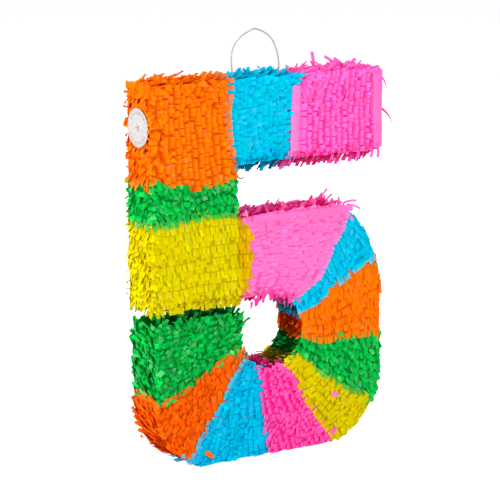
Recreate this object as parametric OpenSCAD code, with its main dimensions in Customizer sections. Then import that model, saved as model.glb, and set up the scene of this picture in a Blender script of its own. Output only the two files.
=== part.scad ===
// Number-shaped pinata: a hollow cardboard body wrapped in cut tissue fringe,
// with a hinged fill flap in its left edge and a wire hanging loop on top.
// Origin: middle of the width and of the depth, on the flat bottom. Front faces -Y.

/* [Overall size] */
// Height of the fringed body, without the hanging loop
body_h = 500; // [480:1:520]
// Width of the fringed body
body_w = 358; // [350:1:366]
// Depth of the fringed body, front to back
body_d = 60; // [54:1:80]

/* [Figure] */
// Height of the top bar
bar_h = 108; // [100:1:116]
// Width of the upright stem
stem_w = 128; // [120:1:134]
// Height of the bowl's flat top
bowl_top = 322; // [318:1:328]
// Outer radius of the bowl's shoulder
shoulder_r = 150; // [146:1:150]
// Height of the shoulder's centre
shoulder_z = 200; // [195:1:204]
// Radius of the lower right corner
corner_right_r = 95; // [88:1:98]
// Radius of the lower left corner
corner_left_r = 88; // [82:1:92]
// Step of the lower left end, in from the stem's left edge
end_step = 4; // [2:1:6]
// Radius of the round hole in the bowl
hole_r = 49; // [46:1:52]
// Distance of the round hole's centre from the left edge
hole_x = 182; // [178:1:186]
// Height of the round hole's centre
hole_z = 167; // [164:1:170]
// Height of the slot under the stem
slot_h = 21; // [18:1:24]

/* [Board and fringe] */
// Thickness of the cardboard
board_t = 3; // [2:0.5:3]
// Thickness of the fringe layer on the cardboard
fringe_t = 4; // [3:0.5:5]

/* [Fill flap] */
// Width of the flap
flap_w = 38; // [32:1:40]
// Height of the flap
flap_h = 60; // [50:1:64]
// Height of the flap's hinge line
flap_z = 475; // [470:1:480]
// Diameter of the round label on the flap
label_d = 49.6; // [40:0.2:52]

/* [Hanging loop] */
// Diameter of the wire
wire_d = 2; // [1.6:0.1:2.4]
// Width of the loop between the middles of its legs
loop_w = 70; // [64:1:76]
// Height of the loop's arch centre above the body
loop_rise = 24; // [20:1:30]
// Sideways position of the loop's middle
loop_x = -4; // [-8:1:0]

/* [Hidden] */
$fn = 96;
label_t = 0.4;
gap = 0.5;              // side clearance of the flap in its hole
flap_drop = 0.9;        // clearance under the flap, which its inner lower edge swings through
slot_x = 1.4;           // half width of the slots that the wire legs stand in
foot = 16;              // length of each bent wire foot
axis_drop = 7.5;        // wire foot axis, below the top wall's upper face
x0 = -body_w / 2;       // left edge
card_d = body_d - 2 * fringe_t;
in_d = card_d - 2 * board_t;
bar_z = body_h - bar_h;
slot_z1 = hole_z + hole_r;
slot_z0 = slot_z1 - slot_h;
f = fringe_t;
b = fringe_t + board_t;
bx = body_w - shoulder_r;      // x of the shoulder's centre
rx = body_w - corner_right_r;  // x of the lower right corner's centre
lx = end_step + corner_left_r; // x of the lower left corner's centre
top_card = body_h - f;
pivot_z = top_card - axis_drop;
arch_z = body_h + loop_rise;
join_x = bx + sqrt(pow(shoulder_r - b, 2) - pow(bowl_top - b - shoulder_z, 2));
tip_x = hole_x - sqrt(pow(hole_r + b, 2) - pow(slot_z0 - b - hole_z, 2)) + 1;

// Colours
KRAFT = [0.72, 0.55, 0.36];
ORANGE = [1.0, 0.47, 0.05];
BLUE = [0.0, 0.72, 0.92];
PINK = [1.0, 0.46, 0.76];
GREEN = [0.07, 0.70, 0.27];
YELLOW = [0.88, 0.83, 0.03];

// Lines between the colours, from the middle of the round hole outwards
HC = [hole_x, hole_z];
PB = [[219, 199], [260, 228], [289, 276], [312, 318], [330, 352]];
BO = [[228, 183], [254, 187], [286, 211], [360, 250], [380, 260]];
OG = [[230, 155], [258, 142], [380, 140]];
GY = [[215, 131], [250, 105], [299, 74], [350, 46], [380, 30]];
YP = [[196, 120], [216, 100], [234, 66], [274, 14], [290, -10]];
PB2 = [[160, 118], [165, 63], [174, -10]];
BO2 = [[139, 138], [84, 62], [50, 0], [44, -10]];
OG2 = [[136, 150], [92, 132], [47, 104], [-10, 84]];
SL = [[138, 205], [-10, 205]];
YP2 = [[138, 205], [140, 226], [154, 262], [150, 340]];
GO = [[-10, 382], [45, 368], [66, 360], [94, 369], [134, 381]];
green_z = 326;
orange_x = 120;
pink_x = 214;

function rev(v) = [for (i = [len(v) - 1 : -1 : 0]) v[i]];

// The figure's outline, drawn d inside the fringe's surface
module figure(d) {
    difference() {
        union() {
            translate([d, bar_z + d]) square([body_w - 2 * d, bar_h - 2 * d]);
            translate([d, slot_z1 - 1]) square([stem_w - 2 * d, body_h - d - slot_z1 + 1]);
            translate([d, slot_z1 - 1]) square([bx - d, bowl_top - d - slot_z1 + 1]);
            intersection() {
                translate([bx, shoulder_z]) circle(shoulder_r - d);
                translate([hole_x, 100]) square([body_w, bowl_top - d - 100]);
            }
            translate([bx, corner_right_r]) square([body_w - d - bx, shoulder_z - corner_right_r]);
            translate([rx, corner_right_r]) circle(corner_right_r - d);
            translate([lx, d]) square([rx - lx, shoulder_z - d]);
            translate([lx, corner_left_r]) circle(corner_left_r - d);
            translate([end_step + d, corner_left_r]) square([lx - end_step - d, slot_z1 - corner_left_r]);
        }
        translate(HC) circle(hole_r + d);
        translate([-20, slot_z0 - d]) square([hole_x + 20, slot_h + 2 * d]);
    }
}

// Stands a drawing up in the X-Z plane, depth t, centred on the depth y
module upright(t, y = 0) {
    translate([x0, y + t / 2, 0]) rotate([90, 0, 0]) linear_extrude(t) children();
}

// One strip of the edge wall: the stretch of the figure's rim inside a window
module rim(xa, za, xb, zb) {
    upright(in_d) intersection() {
        difference() { figure(f); figure(b); }
        translate([xa, za]) square([xb - xa, zb - za]);
    }
}

module flap_hole(half_w, deep) {
    translate([x0 - 1, -half_w, flap_z - flap_h - flap_drop]) cube([deep + 1, 2 * half_w, flap_h + flap_drop + 0.3]);
}

module wire_slots(half_y, z, h) {
    for (s = [-1, 1]) translate([loop_x + s * loop_w / 2 - slot_x, -half_y, z]) cube([2 * slot_x, 2 * half_y, h]);
}

// The fringe layer over one colour zone: front, back and the edges between them
module fringe(points) {
    difference() {
        upright(body_d) intersection() { figure(0); polygon(points); }
        upright(card_d) figure(f);
        translate([x0 + lx, -body_d, -1]) cube([rx - lx, 2 * body_d, f + 1]);
    }
}

module front_panel() { color(KRAFT) upright(board_t, -card_d / 2 + board_t / 2) figure(f); }
module back_panel() { color(KRAFT) upright(board_t, card_d / 2 - board_t / 2) figure(f); }

module top_wall() {
    color(KRAFT) difference() {
        rim(0, body_h - b, body_w, body_h);
        wire_slots(7, top_card - board_t - 1, board_t + 2);
    }
}
module left_wall() {
    color(KRAFT) difference() {
        rim(0, slot_z1 + b, b, body_h - b);
        flap_hole(flap_w / 2 + gap, b + 1);
    }
}
module stem_bottom_wall() { color(KRAFT) rim(0, slot_z1, hole_x, slot_z1 + b); }
module stem_inner_wall() { color(KRAFT) rim(stem_w - b, bowl_top - f, stem_w, bar_z + f); }
module bar_underside_wall() { color(KRAFT) rim(stem_w - b, bar_z + f, body_w - b, bar_z + b); }
module bar_end_wall() { color(KRAFT) rim(body_w - b, bar_z, body_w, body_h - b); }
module bowl_top_wall() { color(KRAFT) rim(stem_w - b, bowl_top - b, join_x, bowl_top - f); }
module shoulder_wall() { color(KRAFT) rim(join_x, shoulder_z, body_w, bowl_top); }
module right_wall() { color(KRAFT) rim(body_w - 20, corner_right_r, body_w, shoulder_z); }
module lower_right_wall() { color(KRAFT) rim(rx, 0, body_w, corner_right_r); }
module bottom_wall() { color(KRAFT) rim(lx, 0, rx, 20); }
module lower_left_wall() { color(KRAFT) rim(0, 0, lx, corner_left_r); }
module terminal_side_wall() { color(KRAFT) rim(0, corner_left_r, 30, slot_z0 - b); }
module terminal_top_wall() { color(KRAFT) rim(0, slot_z0 - b, tip_x, slot_z0); }
module counter_wall() {
    zt = slot_z0 - b;
    color(KRAFT) difference() {
        upright(in_d) intersection() {
            difference() { figure(f); figure(b); }
            union() {
                translate([hole_x - hole_r - 20, zt - 2 * hole_r - 20]) square([2 * hole_r + 40, 2 * hole_r + 20]);
                translate([tip_x, zt - 1]) square([2 * hole_r + 10, hole_r + 1]);
            }
        }
        translate([x0, -body_d, slot_z1]) cube([hole_x, 2 * body_d, 50]);
    }
}

module top_stiffener() {
    color(KRAFT) difference() {
        translate([loop_x - loop_w / 2 - 30, -in_d / 2 + 2, top_card - 2 * board_t]) cube([loop_w + 60, in_d - 4, board_t]);
        wire_slots(5.4, top_card - 2 * board_t - 1, board_t + 2);
    }
}
module wire_anchor(s) {
    z1 = top_card - 2 * board_t;
    color("tan") difference() {
        translate([loop_x + s * (loop_w / 2 + 9), 0, z1 - 2]) cube([12, 20, 4], center = true);
        translate([loop_x + s * (loop_w / 2 + 9), 0, pivot_z]) rotate([0, 90, 0]) cylinder(h = 20, r = wire_d / 2 + 0.08, center = true);
    }
}
module left_wire_anchor() { wire_anchor(-1); }
module right_wire_anchor() { wire_anchor(1); }

module hanging_wire() {
    r = wire_d / 2;
    color("gainsboro") translate([loop_x, 0, 0]) {
        translate([0, 0, arch_z]) rotate([90, 0, 0]) rotate_extrude(angle = 180) translate([loop_w / 2, 0]) circle(r);
        for (s = [-1, 1]) {
            translate([s * loop_w / 2, 0, pivot_z]) cylinder(h = arch_z - pivot_z, r = r);
            translate([s * loop_w / 2, 0, pivot_z]) sphere(r);
            translate([s * (loop_w + foot) / 2, 0, pivot_z]) rotate([0, 90, 0]) cylinder(h = foot, r = r, center = true);
        }
    }
}

module fill_flap() {
    color(KRAFT) translate([x0 + f, -flap_w / 2, flap_z - flap_h]) cube([board_t, flap_w, flap_h]);
}
module flap_fringe() {
    color(ORANGE) translate([x0, -flap_w / 2, flap_z - flap_h]) cube([f, flap_w, flap_h]);
}
module round_label() {
    color("white") translate([x0 - label_t, 0, flap_z - flap_h / 2]) rotate([0, 90, 0]) cylinder(h = label_t, r = label_d / 2);
}

module fringe_orange_top() {
    color(ORANGE) difference() {
        fringe(concat(GO, [[134, 390], [orange_x, 394], [orange_x, 520], [-10, 520]]));
        flap_hole(flap_w / 2 + gap, b + 1);
    }
}
module fringe_blue_top() {
    color(BLUE) difference() {
        fringe([[orange_x, 394], [134, 390], [134, 385], [pink_x, 385], [pink_x, 520], [orange_x, 520]]);
        wire_slots(10, top_card - 1, f + 2);
    }
}
module fringe_pink_bar() { color(PINK) fringe([[pink_x, 385], [380, 385], [380, 520], [pink_x, 520]]); }
module fringe_green_stem() { color(GREEN) fringe(concat(rev(GO), [[-10, green_z], [134, green_z]])); }
module fringe_yellow_stem() { color(YELLOW) fringe(concat([[-10, 205]], [for (i = [0 : 2]) YP2[i]], [[150, green_z], [-10, green_z]])); }
module fringe_pink_bowl() { color(PINK) fringe(concat([HC], YP2, rev(PB))); }
module fringe_blue_bowl() { color(BLUE) fringe(concat([HC], PB, [[380, 352]], rev(BO))); }
module fringe_orange_right() { color(ORANGE) fringe(concat([HC], BO, rev(OG))); }
module fringe_green_right() { color(GREEN) fringe(concat([HC], OG, rev(GY))); }
module fringe_yellow_lower() { color(YELLOW) fringe(concat([HC], GY, [[380, -10]], rev(YP))); }
module fringe_pink_lower() { color(PINK) fringe(concat([HC], YP, rev(PB2))); }
module fringe_blue_lower() { color(BLUE) fringe(concat([HC], PB2, rev(BO2))); }
module fringe_orange_end() { color(ORANGE) fringe(concat([HC], BO2, [[-10, -10]], rev(OG2))); }
module fringe_green_end() { color(GREEN) fringe(concat([HC], OG2, rev(SL))); }
module bottom_fringe_blue() { color(BLUE) translate([x0 + lx, -body_d / 2, 0]) cube([174 - lx, body_d, f]); }
module bottom_fringe_pink() { color(PINK) translate([x0 + 174, -body_d / 2, 0]) cube([rx - 174, body_d, f]); }

front_panel();
back_panel();
top_wall();
left_wall();
stem_bottom_wall();
stem_inner_wall();
bar_underside_wall();
bar_end_wall();
bowl_top_wall();
shoulder_wall();
right_wall();
lower_right_wall();
bottom_wall();
lower_left_wall();
terminal_side_wall();
terminal_top_wall();
counter_wall();
top_stiffener();
left_wire_anchor();
right_wire_anchor();
hanging_wire();
fill_flap();
flap_fringe();
round_label();
fringe_orange_top();
fringe_blue_top();
fringe_pink_bar();
fringe_green_stem();
fringe_yellow_stem();
fringe_pink_bowl();
fringe_blue_bowl();
fringe_orange_right();
fringe_green_right();
fringe_yellow_lower();
fringe_pink_lower();
fringe_blue_lower();
fringe_orange_end();
fringe_green_end();
bottom_fringe_blue();
bottom_fringe_pink();
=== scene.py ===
import math
import bpy
import numpy as np
from mathutils import Matrix, Quaternion, Vector


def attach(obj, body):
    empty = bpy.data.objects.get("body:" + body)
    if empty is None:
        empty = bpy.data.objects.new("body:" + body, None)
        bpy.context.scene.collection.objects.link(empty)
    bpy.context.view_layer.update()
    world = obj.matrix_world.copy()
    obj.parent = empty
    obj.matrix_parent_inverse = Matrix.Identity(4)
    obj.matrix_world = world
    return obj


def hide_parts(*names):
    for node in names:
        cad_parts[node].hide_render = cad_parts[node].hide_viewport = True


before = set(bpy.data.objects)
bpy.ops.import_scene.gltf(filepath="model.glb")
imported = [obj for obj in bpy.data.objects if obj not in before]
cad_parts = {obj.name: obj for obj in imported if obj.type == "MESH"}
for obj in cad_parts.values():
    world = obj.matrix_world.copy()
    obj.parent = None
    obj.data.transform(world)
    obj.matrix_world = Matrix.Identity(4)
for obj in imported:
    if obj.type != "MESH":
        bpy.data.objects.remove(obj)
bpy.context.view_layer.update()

scene = bpy.context.scene

# ------------------------------------------------------------------ figure, in mm, x from the left edge
MM = 0.001
XL = -179.0          # part x of the left edge
CARD = 26.0          # half depth of the card body
HC = (182.0, 167.0)  # middle of the round hole
FLAP_Z0, FLAP_Z1, FLAP_Y = 415.0, 475.0, 19.0
LABEL_Z, LABEL_R = 445.0, 24.8


def srgb(r, g, b):
    return np.array([((c / 255 + 0.055) / 1.055) ** 2.4 if c > 10.3 else c / 255 / 12.92 for c in (r, g, b)])


ORANGE, BLUE = srgb(251, 120, 8), srgb(3, 192, 224)
PINK, HOTPINK = srgb(255, 106, 198), srgb(255, 98, 193)
BOWLPINK = srgb(250, 119, 196)
LOWBLUE, LOWYELLOW = srgb(3, 200, 238), srgb(226, 207, 4)
GREEN, YELLOW = srgb(14, 190, 75), srgb(219, 204, 3)

PB = [HC, (219, 199), (260, 228), (289, 276), (312, 318), (330, 352)]
BO = [HC, (228, 183), (254, 187), (286, 211), (360, 250), (380, 260)]
OG = [HC, (230, 155), (258, 142), (310, 141), (380, 140)]
GY = [HC, (215, 131), (250, 105), (299, 74), (350, 46), (380, 30)]
YP = [HC, (196, 120), (216, 100), (234, 66), (274, 14), (290, -10)]
PU = [HC, (160, 118), (165, 63), (174, -10)]
UO = [HC, (139, 138), (84, 62), (50, 0), (44, -10)]
OE = [HC, (136, 150), (92, 132), (47, 104), (-10, 84)]
SL = [HC, (138, 205), (-10, 205)]
YPB = [(138, 205), (140, 226), (154, 262), (150, 340)]
GO = [(-10, 382), (45, 368), (66, 360), (94, 369), (134, 381)]
OB = [(128, 385), (119, 423), (116, 456), (121, 520)]
BP = [(209, 385), (209, 394), (212, 474), (228, 500), (229, 520)]
GZ = [(-10, 332), (20, 321), (56, 324), (83, 327), (140, 327)]

# name: colour, zone polygon
ZONES = [
    ("orange_top", ORANGE, GO + OB + [(-10, 520)]),
    ("blue_top", BLUE, OB + BP[::-1]),
    ("pink_bar", PINK, BP + [(380, 520), (380, 385)]),
    ("green_stem", GREEN, GO[::-1] + GZ),
    ("yellow_stem", YELLOW, [(-10, 205), (138, 205), (140, 226), (154, 262), (150, 327)] + GZ[::-1]),
    ("pink_bowl", BOWLPINK, [HC] + YPB + PB[:0:-1]),
    ("blue_bowl", BLUE, PB + [(380, 352)] + BO[:0:-1]),
    ("orange_right", ORANGE, BO + OG[:0:-1]),
    ("green_right", GREEN, OG + GY[:0:-1]),
    ("yellow_lower", LOWYELLOW, GY + [(380, -10)] + YP[:0:-1]),
    ("pink_lower", HOTPINK, YP + PU[:0:-1]),
    ("blue_lower", LOWBLUE, PU + UO[:0:-1]),
    ("orange_end", srgb(252, 108, 9), UO + [(-10, -10)] + OE[:0:-1]),
    ("green_end", GREEN, OE + SL[:0:-1]),
]
ZI = {z[0]: i for i, z in enumerate(ZONES)}
ZCOL = np.array([z[1] for z in ZONES])
# painted shade: the dye as it looks in the shade of the fringe, and deeper through several layers
SHADE = {"orange": srgb(208, 50, 0), "blue": srgb(0, 128, 184), "pink": srgb(255, 20, 146), "green": srgb(3, 106, 36), "yellow": srgb(162, 136, 0)}
DEEP_SHADE = np.array([SHADE[z[0].split("_")[0]] for z in ZONES])


def inside(poly, x, z):
    poly = np.asarray(poly, float)
    hit = np.zeros(x.shape, bool)
    a, b = poly, np.roll(poly, -1, 0)
    for (x1, z1), (x2, z2) in zip(a, b):
        if z1 == z2:
            continue
        cross = ((z1 > z) != (z2 > z)) & (x < (x2 - x1) * (z - z1) / (z2 - z1) + x1)
        hit ^= cross
    return hit


class Seg:
    """One smooth stretch of the card's rim, walked clockwise with the body on the right."""

    def __init__(self, name, p0=None, p1=None, c=None, r=0, a0=0, a1=0, open0=True, open1=True):
        self.name, self.open0, self.open1 = name, open0, open1
        if c is None:
            self.p0, self.p1 = np.array(p0, float), np.array(p1, float)
            d = self.p1 - self.p0
            self.len = float(np.hypot(*d))
            self.t = d / self.len
            self.c = None
        else:
            self.c, self.r = np.array(c, float), r
            self.a0, self.a1 = math.radians(a0), math.radians(a1)
            self.sign = 1 if a1 > a0 else -1
            self.len = abs(self.a1 - self.a0) * r

    def at(self, s):
        s = np.asarray(s, float)
        sc = np.clip(s, 0, self.len)
        if self.c is None:
            t = np.broadcast_to(self.t, s.shape + (2,))
            p = self.p0 + t * s[..., None]
        else:
            a = self.a0 + self.sign * sc / self.r
            p = self.c + self.r * np.stack([np.cos(a), np.sin(a)], -1)
            t = self.sign * np.stack([-np.sin(a), np.cos(a)], -1)
            p = p + t * (s - sc)[..., None]
        n = np.stack([-t[..., 1], t[..., 0]], -1)
        return p, t, n


def rim(d):
    """The figure's rim, d inside the fringe's surface."""
    jx = 208 + math.sqrt((150 - d) ** 2 - (122 - d) ** 2)
    ja = math.degrees(math.atan2(122 - d, jx - 208))
    hr = 49 + d
    tz = 195 - d
    tx = 182 - math.sqrt(hr * hr - (tz - 167) ** 2)
    ta = 180 - math.degrees(math.atan2(tz - 167, 182 - tx))
    return [
        Seg("top", (d, 500 - d), (358 - d, 500 - d)),
        Seg("bar_end", (358 - d, 500 - d), (358 - d, 392 + d)),
        Seg("underside", (358 - d, 392 + d), (128 - d, 392 + d), open1=False),
        Seg("stem_inner", (128 - d, 392 + d), (128 - d, 322 - d), open0=False, open1=False),
        Seg("bowl_top", (128 - d, 322 - d), (jx, 322 - d), open0=False),
        Seg("shoulder", c=(208, 200), r=150 - d, a0=ja, a1=0),
        Seg("right", (358 - d, 200), (358 - d, 95)),
        Seg("lower_right", c=(263, 95), r=95 - d, a0=0, a1=-90),
        Seg("bottom", (263, d), (92, d)),
        Seg("lower_left", c=(92, 88), r=88 - d, a0=-90, a1=-180),
        Seg("end_side", (4 + d, 88), (4 + d, tz)),
        Seg("end_top", (4 + d, tz), (tx, tz)),
        Seg("hole", c=HC, r=hr, a0=ta, a1=450),
        Seg("stem_bottom", (182, 216 + d), (d, 216 + d)),
        Seg("left", (d, 216 + d), (d, 500 - d)),
    ]


def outline(d, step=4.0):
    pts = []
    for g in rim(d):
        n = max(2, int(g.len / step)) if g.c is not None else max(2, int(g.len / 25))
        pts.append(g.at(np.linspace(0, g.len, n, endpoint=False))[0])
    return np.concatenate(pts)


# signed distance to the fringed outline (positive outside) and the colour zone, both on grids
GX0, GZ0, GS = -30.0, -30.0, 2.0
gx, gz = np.meshgrid(np.arange(GX0, 390, GS), np.arange(GZ0, 535, GS), indexing="ij")
poly0 = outline(0.0)
A_, B_ = poly0.astype(np.float32), np.roll(poly0, -1, 0).astype(np.float32)
q = np.stack([gx.ravel(), gz.ravel()], 1).astype(np.float32)
best = np.full(len(q), 1e9, np.float32)
for a, b in zip(A_, B_):
    ab = b - a
    t = np.clip(((q - a) @ ab) / max(float(ab @ ab), 1e-9), 0, 1)
    dd = q - a - t[:, None] * ab
    best = np.minimum(best, (dd * dd).sum(1))
ins = inside(poly0, q[:, 0], q[:, 1])
SDF = np.where(ins, -1, 1) * np.sqrt(best)
SDF = SDF.reshape(gx.shape)

zx, zz = np.meshgrid(np.arange(-30, 390, 1.0), np.arange(-30, 535, 1.0), indexing="ij")
ZGRID = np.full(zx.shape, -1, np.int16)
for i, (_, _, poly) in enumerate(ZONES):
    ZGRID[inside(poly, zx + 0.25, zz + 0.25)] = i


def sdf(p):
    fx = np.clip((p[..., 0] - GX0) / GS, 0, SDF.shape[0] - 1.001)
    fz = np.clip((p[..., 1] - GZ0) / GS, 0, SDF.shape[1] - 1.001)
    i, j = fx.astype(int), fz.astype(int)
    u, v = fx - i, fz - j
    return (SDF[i, j] * (1 - u) * (1 - v) + SDF[i + 1, j] * u * (1 - v)
            + SDF[i, j + 1] * (1 - u) * v + SDF[i + 1, j + 1] * u * v)


def zone_at(p):
    i = np.clip(np.round(p[..., 0] + 30).astype(int), 0, ZGRID.shape[0] - 1)
    j = np.clip(np.round(p[..., 1] + 30).astype(int), 0, ZGRID.shape[1] - 1)
    return ZGRID[i, j]


def resample(poly, n):
    poly = np.asarray(poly, float)
    d = np.concatenate([[0], np.cumsum(np.hypot(*np.diff(poly, axis=0).T))])
    s = np.linspace(0, d[-1], n)
    return np.stack([np.interp(s, d, poly[:, 0]), np.interp(s, d, poly[:, 1])], 1)


def wobble(rng, n, cells):
    """Smooth noise of n samples with about `cells` bumps, near -1 to 1."""
    k = max(2, int(cells)) + 1
    return np.interp(np.linspace(0, k - 1, n), np.arange(k), rng.uniform(-1, 1, k))


class Field:
    """Smooth two-way noise over the figure, for the lean of neighbouring fingers."""

    def __init__(self, rng, cell):
        self.cell = cell
        self.g = rng.uniform(-1, 1, (80, 80))

    def __call__(self, p):
        fx = np.clip((p[..., 0] + 60) / self.cell, 0, 78)
        fy = np.clip((p[..., 1] + 60) / self.cell, 0, 78)
        i, j = fx.astype(int), fy.astype(int)
        u, v = fx - i, fy - j
        u, v = u * u * (3 - 2 * u), v * v * (3 - 2 * v)
        g = self.g
        return (g[i, j] * (1 - u) * (1 - v) + g[i + 1, j] * u * (1 - v)
                + g[i, j + 1] * (1 - u) * v + g[i + 1, j + 1] * u * v)


# ------------------------------------------------------------------ tissue, as combs of cut fingers
class Pile:
    """The quads of one piece: corners in mm, colour per corner point, and one map cell per finger."""

    def __init__(self):
        self.co, self.col, self.faces, self.uv, self.n, self.cells = [], [], [], [], 0, 0

    def add(self, co, col, faces, cell, uv):
        self.co.append(co)
        self.col.append(col)
        self.faces.append(faces + self.n)
        self.uv.append(np.concatenate([(cell + self.cells)[..., None, None] + 0 * uv[..., :1], uv], -1))
        self.n += len(co)
        self.cells += int(cell.max()) + 1 if len(cell) else 0


piles = {}
J = 6
TS = np.array([0.0, 0.2, 0.32, 0.45, 0.57, 0.8, 1.0])


def comb(P, D, keep, L, w, prm, rng, up, h0, curve=1.0):
    """One cut strip. P: 2F+1 points of the header's lower line, D: flow of each finger.
    Returns parameter-space points (u, v, h), quads, finger of each point, t of each point."""
    F = len(D)
    nrm = np.stack([-D[:, 1], D[:, 0]], 1)
    side = np.sign(((P[2::2] - P[:-2:2]) * nrm).sum(1))
    side[side == 0] = 1
    rise = prm["rise"] * rng.uniform(0.85, 1.15, F)
    loose = rng.random(F) < prm["loose"]
    lift = np.where(loose, prm["lift"] * rng.uniform(0.7, 3.4, F), prm["lift"] * 0.35 * rng.random(F))
    lift = np.minimum(lift, prm.get("lift_max", 4.5)) * prm.get("lift_scale", 1.0)
    wild = np.where(loose, 1.8, 0.5)
    bend = rng.normal(0, prm["bend"], F) * wild
    twist = rng.normal(0, prm["twist"], F) * wild
    cup = rng.normal(0.05, 0.12, F)
    curl = rng.normal(0, prm.get("curl", 0.35), F) * wild
    slant = rng.normal(0, 0.16, F)
    gap = rng.uniform(prm.get("gap", 0.91), 0.985, F)
    ang = np.arctan2(D[:, 1], D[:, 0])
    t = TS
    T = t[None, :]
    phi = ang[:, None] + bend[:, None] * T * 0.5
    ex, ey = np.cos(phi), np.sin(phi)
    cen = P[1::2][:, None, :] + (L[:, None] * T)[..., None] * np.stack([ex, ey], -1)
    phi2 = ang[:, None] + bend[:, None] * T
    sx, sy = -np.sin(phi2) * side[:, None], np.cos(phi2) * side[:, None]
    wt = w[:, None] * 0.5 * (1 - (1 - gap[:, None]) * np.minimum(1, T * 3)) * (1 + 0.03 * np.sin(7 * T + ang[:, None] * 9))
    pts = np.zeros((F, J + 1, 3, 3))
    for k, i in enumerate((-1, 0, 1)):
        off = i * wt
        pts[:, :, k, 0] = cen[..., 0] + sx * off
        pts[:, :, k, 1] = cen[..., 1] + sy * off
    # slanted or notched tip
    for k, i in enumerate((-1, 0, 1)):
        dl = slant * i * w * 0.5 + (0.25 * (i == 0) * rng.uniform(-1, 1, F))
        pts[:, J, k, 0] += np.cos(phi[:, J]) * dl
        pts[:, J, k, 1] += np.sin(phi[:, J]) * dl
    tt = T ** 1.7
    hc = h0 + rise[:, None] * T + prm["kick"] * np.clip(T - 0.6, 0, 1) * 2.5 + lift[:, None] * tt + curl[:, None] * np.sin(np.pi * T) * T
    for k, i in enumerate((-1, 0, 1)):
        pts[:, :, k, 2] = hc + twist[:, None] * T * i * w[:, None] * 0.5 + (cup[:, None] * (i == 0)) * np.minimum(1, 2 * T) - 0.08 * abs(i)
    # roots share the header's points
    for k in range(3):
        pts[:, 0, k, :2] = P[k:2 * F - 1 + k:2]
    hr = np.full(2 * F + 1, h0) if np.ndim(h0) == 0 else np.append(np.repeat(h0[:, 0], 2), h0[-1, 0])
    hr = hr + 0.12 * wobble(rng, 2 * F + 1, F)
    for k in range(3):
        pts[:, 0, k, 2] = hr[k:2 * F - 1 + k:2]
    # header band
    U = np.zeros((2 * F + 1, 3))
    U[:, :2] = up
    U[:, 2] = hr - 0.35 + 0.1 * wobble(rng, 2 * F + 1, F)
    co = np.concatenate([U, np.stack([P[:, 0], P[:, 1], hr], 1), pts[:, 1:].reshape(-1, 3)])
    n1 = 2 * F + 1
    base = 2 * n1
    idx = np.zeros((F, J + 2, 3), int)
    f = np.arange(F)
    for k in range(3):
        idx[:, 0, k] = 2 * f + k
        idx[:, 1, k] = n1 + 2 * f + k
        for j in range(1, J + 1):
            idx[:, j + 1, k] = base + (f * J + j - 1) * 3 + k
    quads, uvs = [], []
    for j in range(J + 1):
        for k in range(2):
            quads.append(np.stack([idx[:, j, k], idx[:, j, k + 1], idx[:, j + 1, k + 1], idx[:, j + 1, k]], 1))
            u0, u1, v0, v1 = k / 2, (k + 1) / 2, j / (J + 1), (j + 1) / (J + 1)
            uvs.append(np.broadcast_to(np.array([[u0, v0], [u1, v0], [u1, v1], [u0, v1]]), (F, 4, 2)))
    quads = np.stack(quads, 1)  # F, 2(J+1), 4
    uvs = np.stack(uvs, 1)
    flip = side < 0
    fing = np.concatenate([np.minimum(np.arange(n1) // 2, F - 1)] * 2 + [np.repeat(f, J * 3)])
    tv = np.concatenate([np.full(n1, -0.3), np.zeros(n1), np.tile(np.repeat(t[1:], 3), F)])
    quads = quads[keep]
    uvs = uvs[keep]
    cell = np.broadcast_to(np.arange(len(quads))[:, None], quads.shape[:2])
    if flip.mean() > 0.5:
        quads, uvs = quads[..., ::-1], uvs[..., ::-1, :]
    quads, uvs, cell = quads.reshape(-1, 4), uvs.reshape(-1, 4, 2), cell.reshape(-1)
    used = np.unique(quads)
    remap = np.full(len(co), -1)
    remap[used] = np.arange(len(used))
    return co[used], remap[quads], fing[used], tv[used], cell, uvs


def tints(rng, F, col, prm):
    """A base colour for each finger: depth of dye, how sheer it is, and a slight drift of hue."""
    v = np.clip(rng.normal(1.0, prm["cvar"], F), 0.72, 1.16)
    pale = np.where(rng.random(F) < prm.get("pale", 0.08), rng.uniform(0.004, prm.get("pale_max", 0.028), F), 0.0)
    deep = np.where(rng.random(F) < prm.get("deep", 0.12), rng.uniform(0.1, 0.45, F), 0.0)
    c = col[None, :] * v[:, None]
    sat = np.clip(col, 0, 1) ** 1.8
    c = c * (1 - deep[:, None]) + sat[None, :] * 0.95 * deep[:, None]
    c = c * (1 - pale[:, None]) + pale[:, None]
    c *= 1 + rng.normal(0, 0.03, (F, 3))
    return np.clip(c, 0.0, 1.0)


def paint(rng, base, t, own, under, sheer, depth=1.0, line=0.0):
    """Colour of each point: painted shade near the root, strongest just past the tips of the row before and partly the
    deeper tone of layered tissue; tinted by what a lone tip lies on.
    """
    sat = DEEP_SHADE[own] * (base.sum(1) / ZCOL[own].sum())[:, None]
    # share of painted shade along the finger: some at the root, most from a third of its length to just past where the
    # row before ends, none at the tip
    k = (np.interp(t, [-0.3, 0.1, 0.3, 0.45 + line, 0.57 + line, 1.0], [0.25, 0.35, 1.0, 0.95, 0.06, 0.0]) * min(depth, 1.0))[:, None]
    c = base * (1 - k) + sat * k
    other = (under >= 0) & (under != own)
    m = np.where(other, sheer, 0.0)[:, None]
    uc = ZCOL[np.clip(under, 0, len(ZONES) - 1)]
    if own in (ZI["yellow_stem"], ZI["yellow_lower"]):
        uc = c * uc  # yellow lets the pink below through as a warm orange yellow
    return np.clip(c * (1 - m) + uc * m, 0, 1)


# depth: strength of the painted shade that paint() puts near the fingers' roots; line moves its dark band along the
# finger
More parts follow.
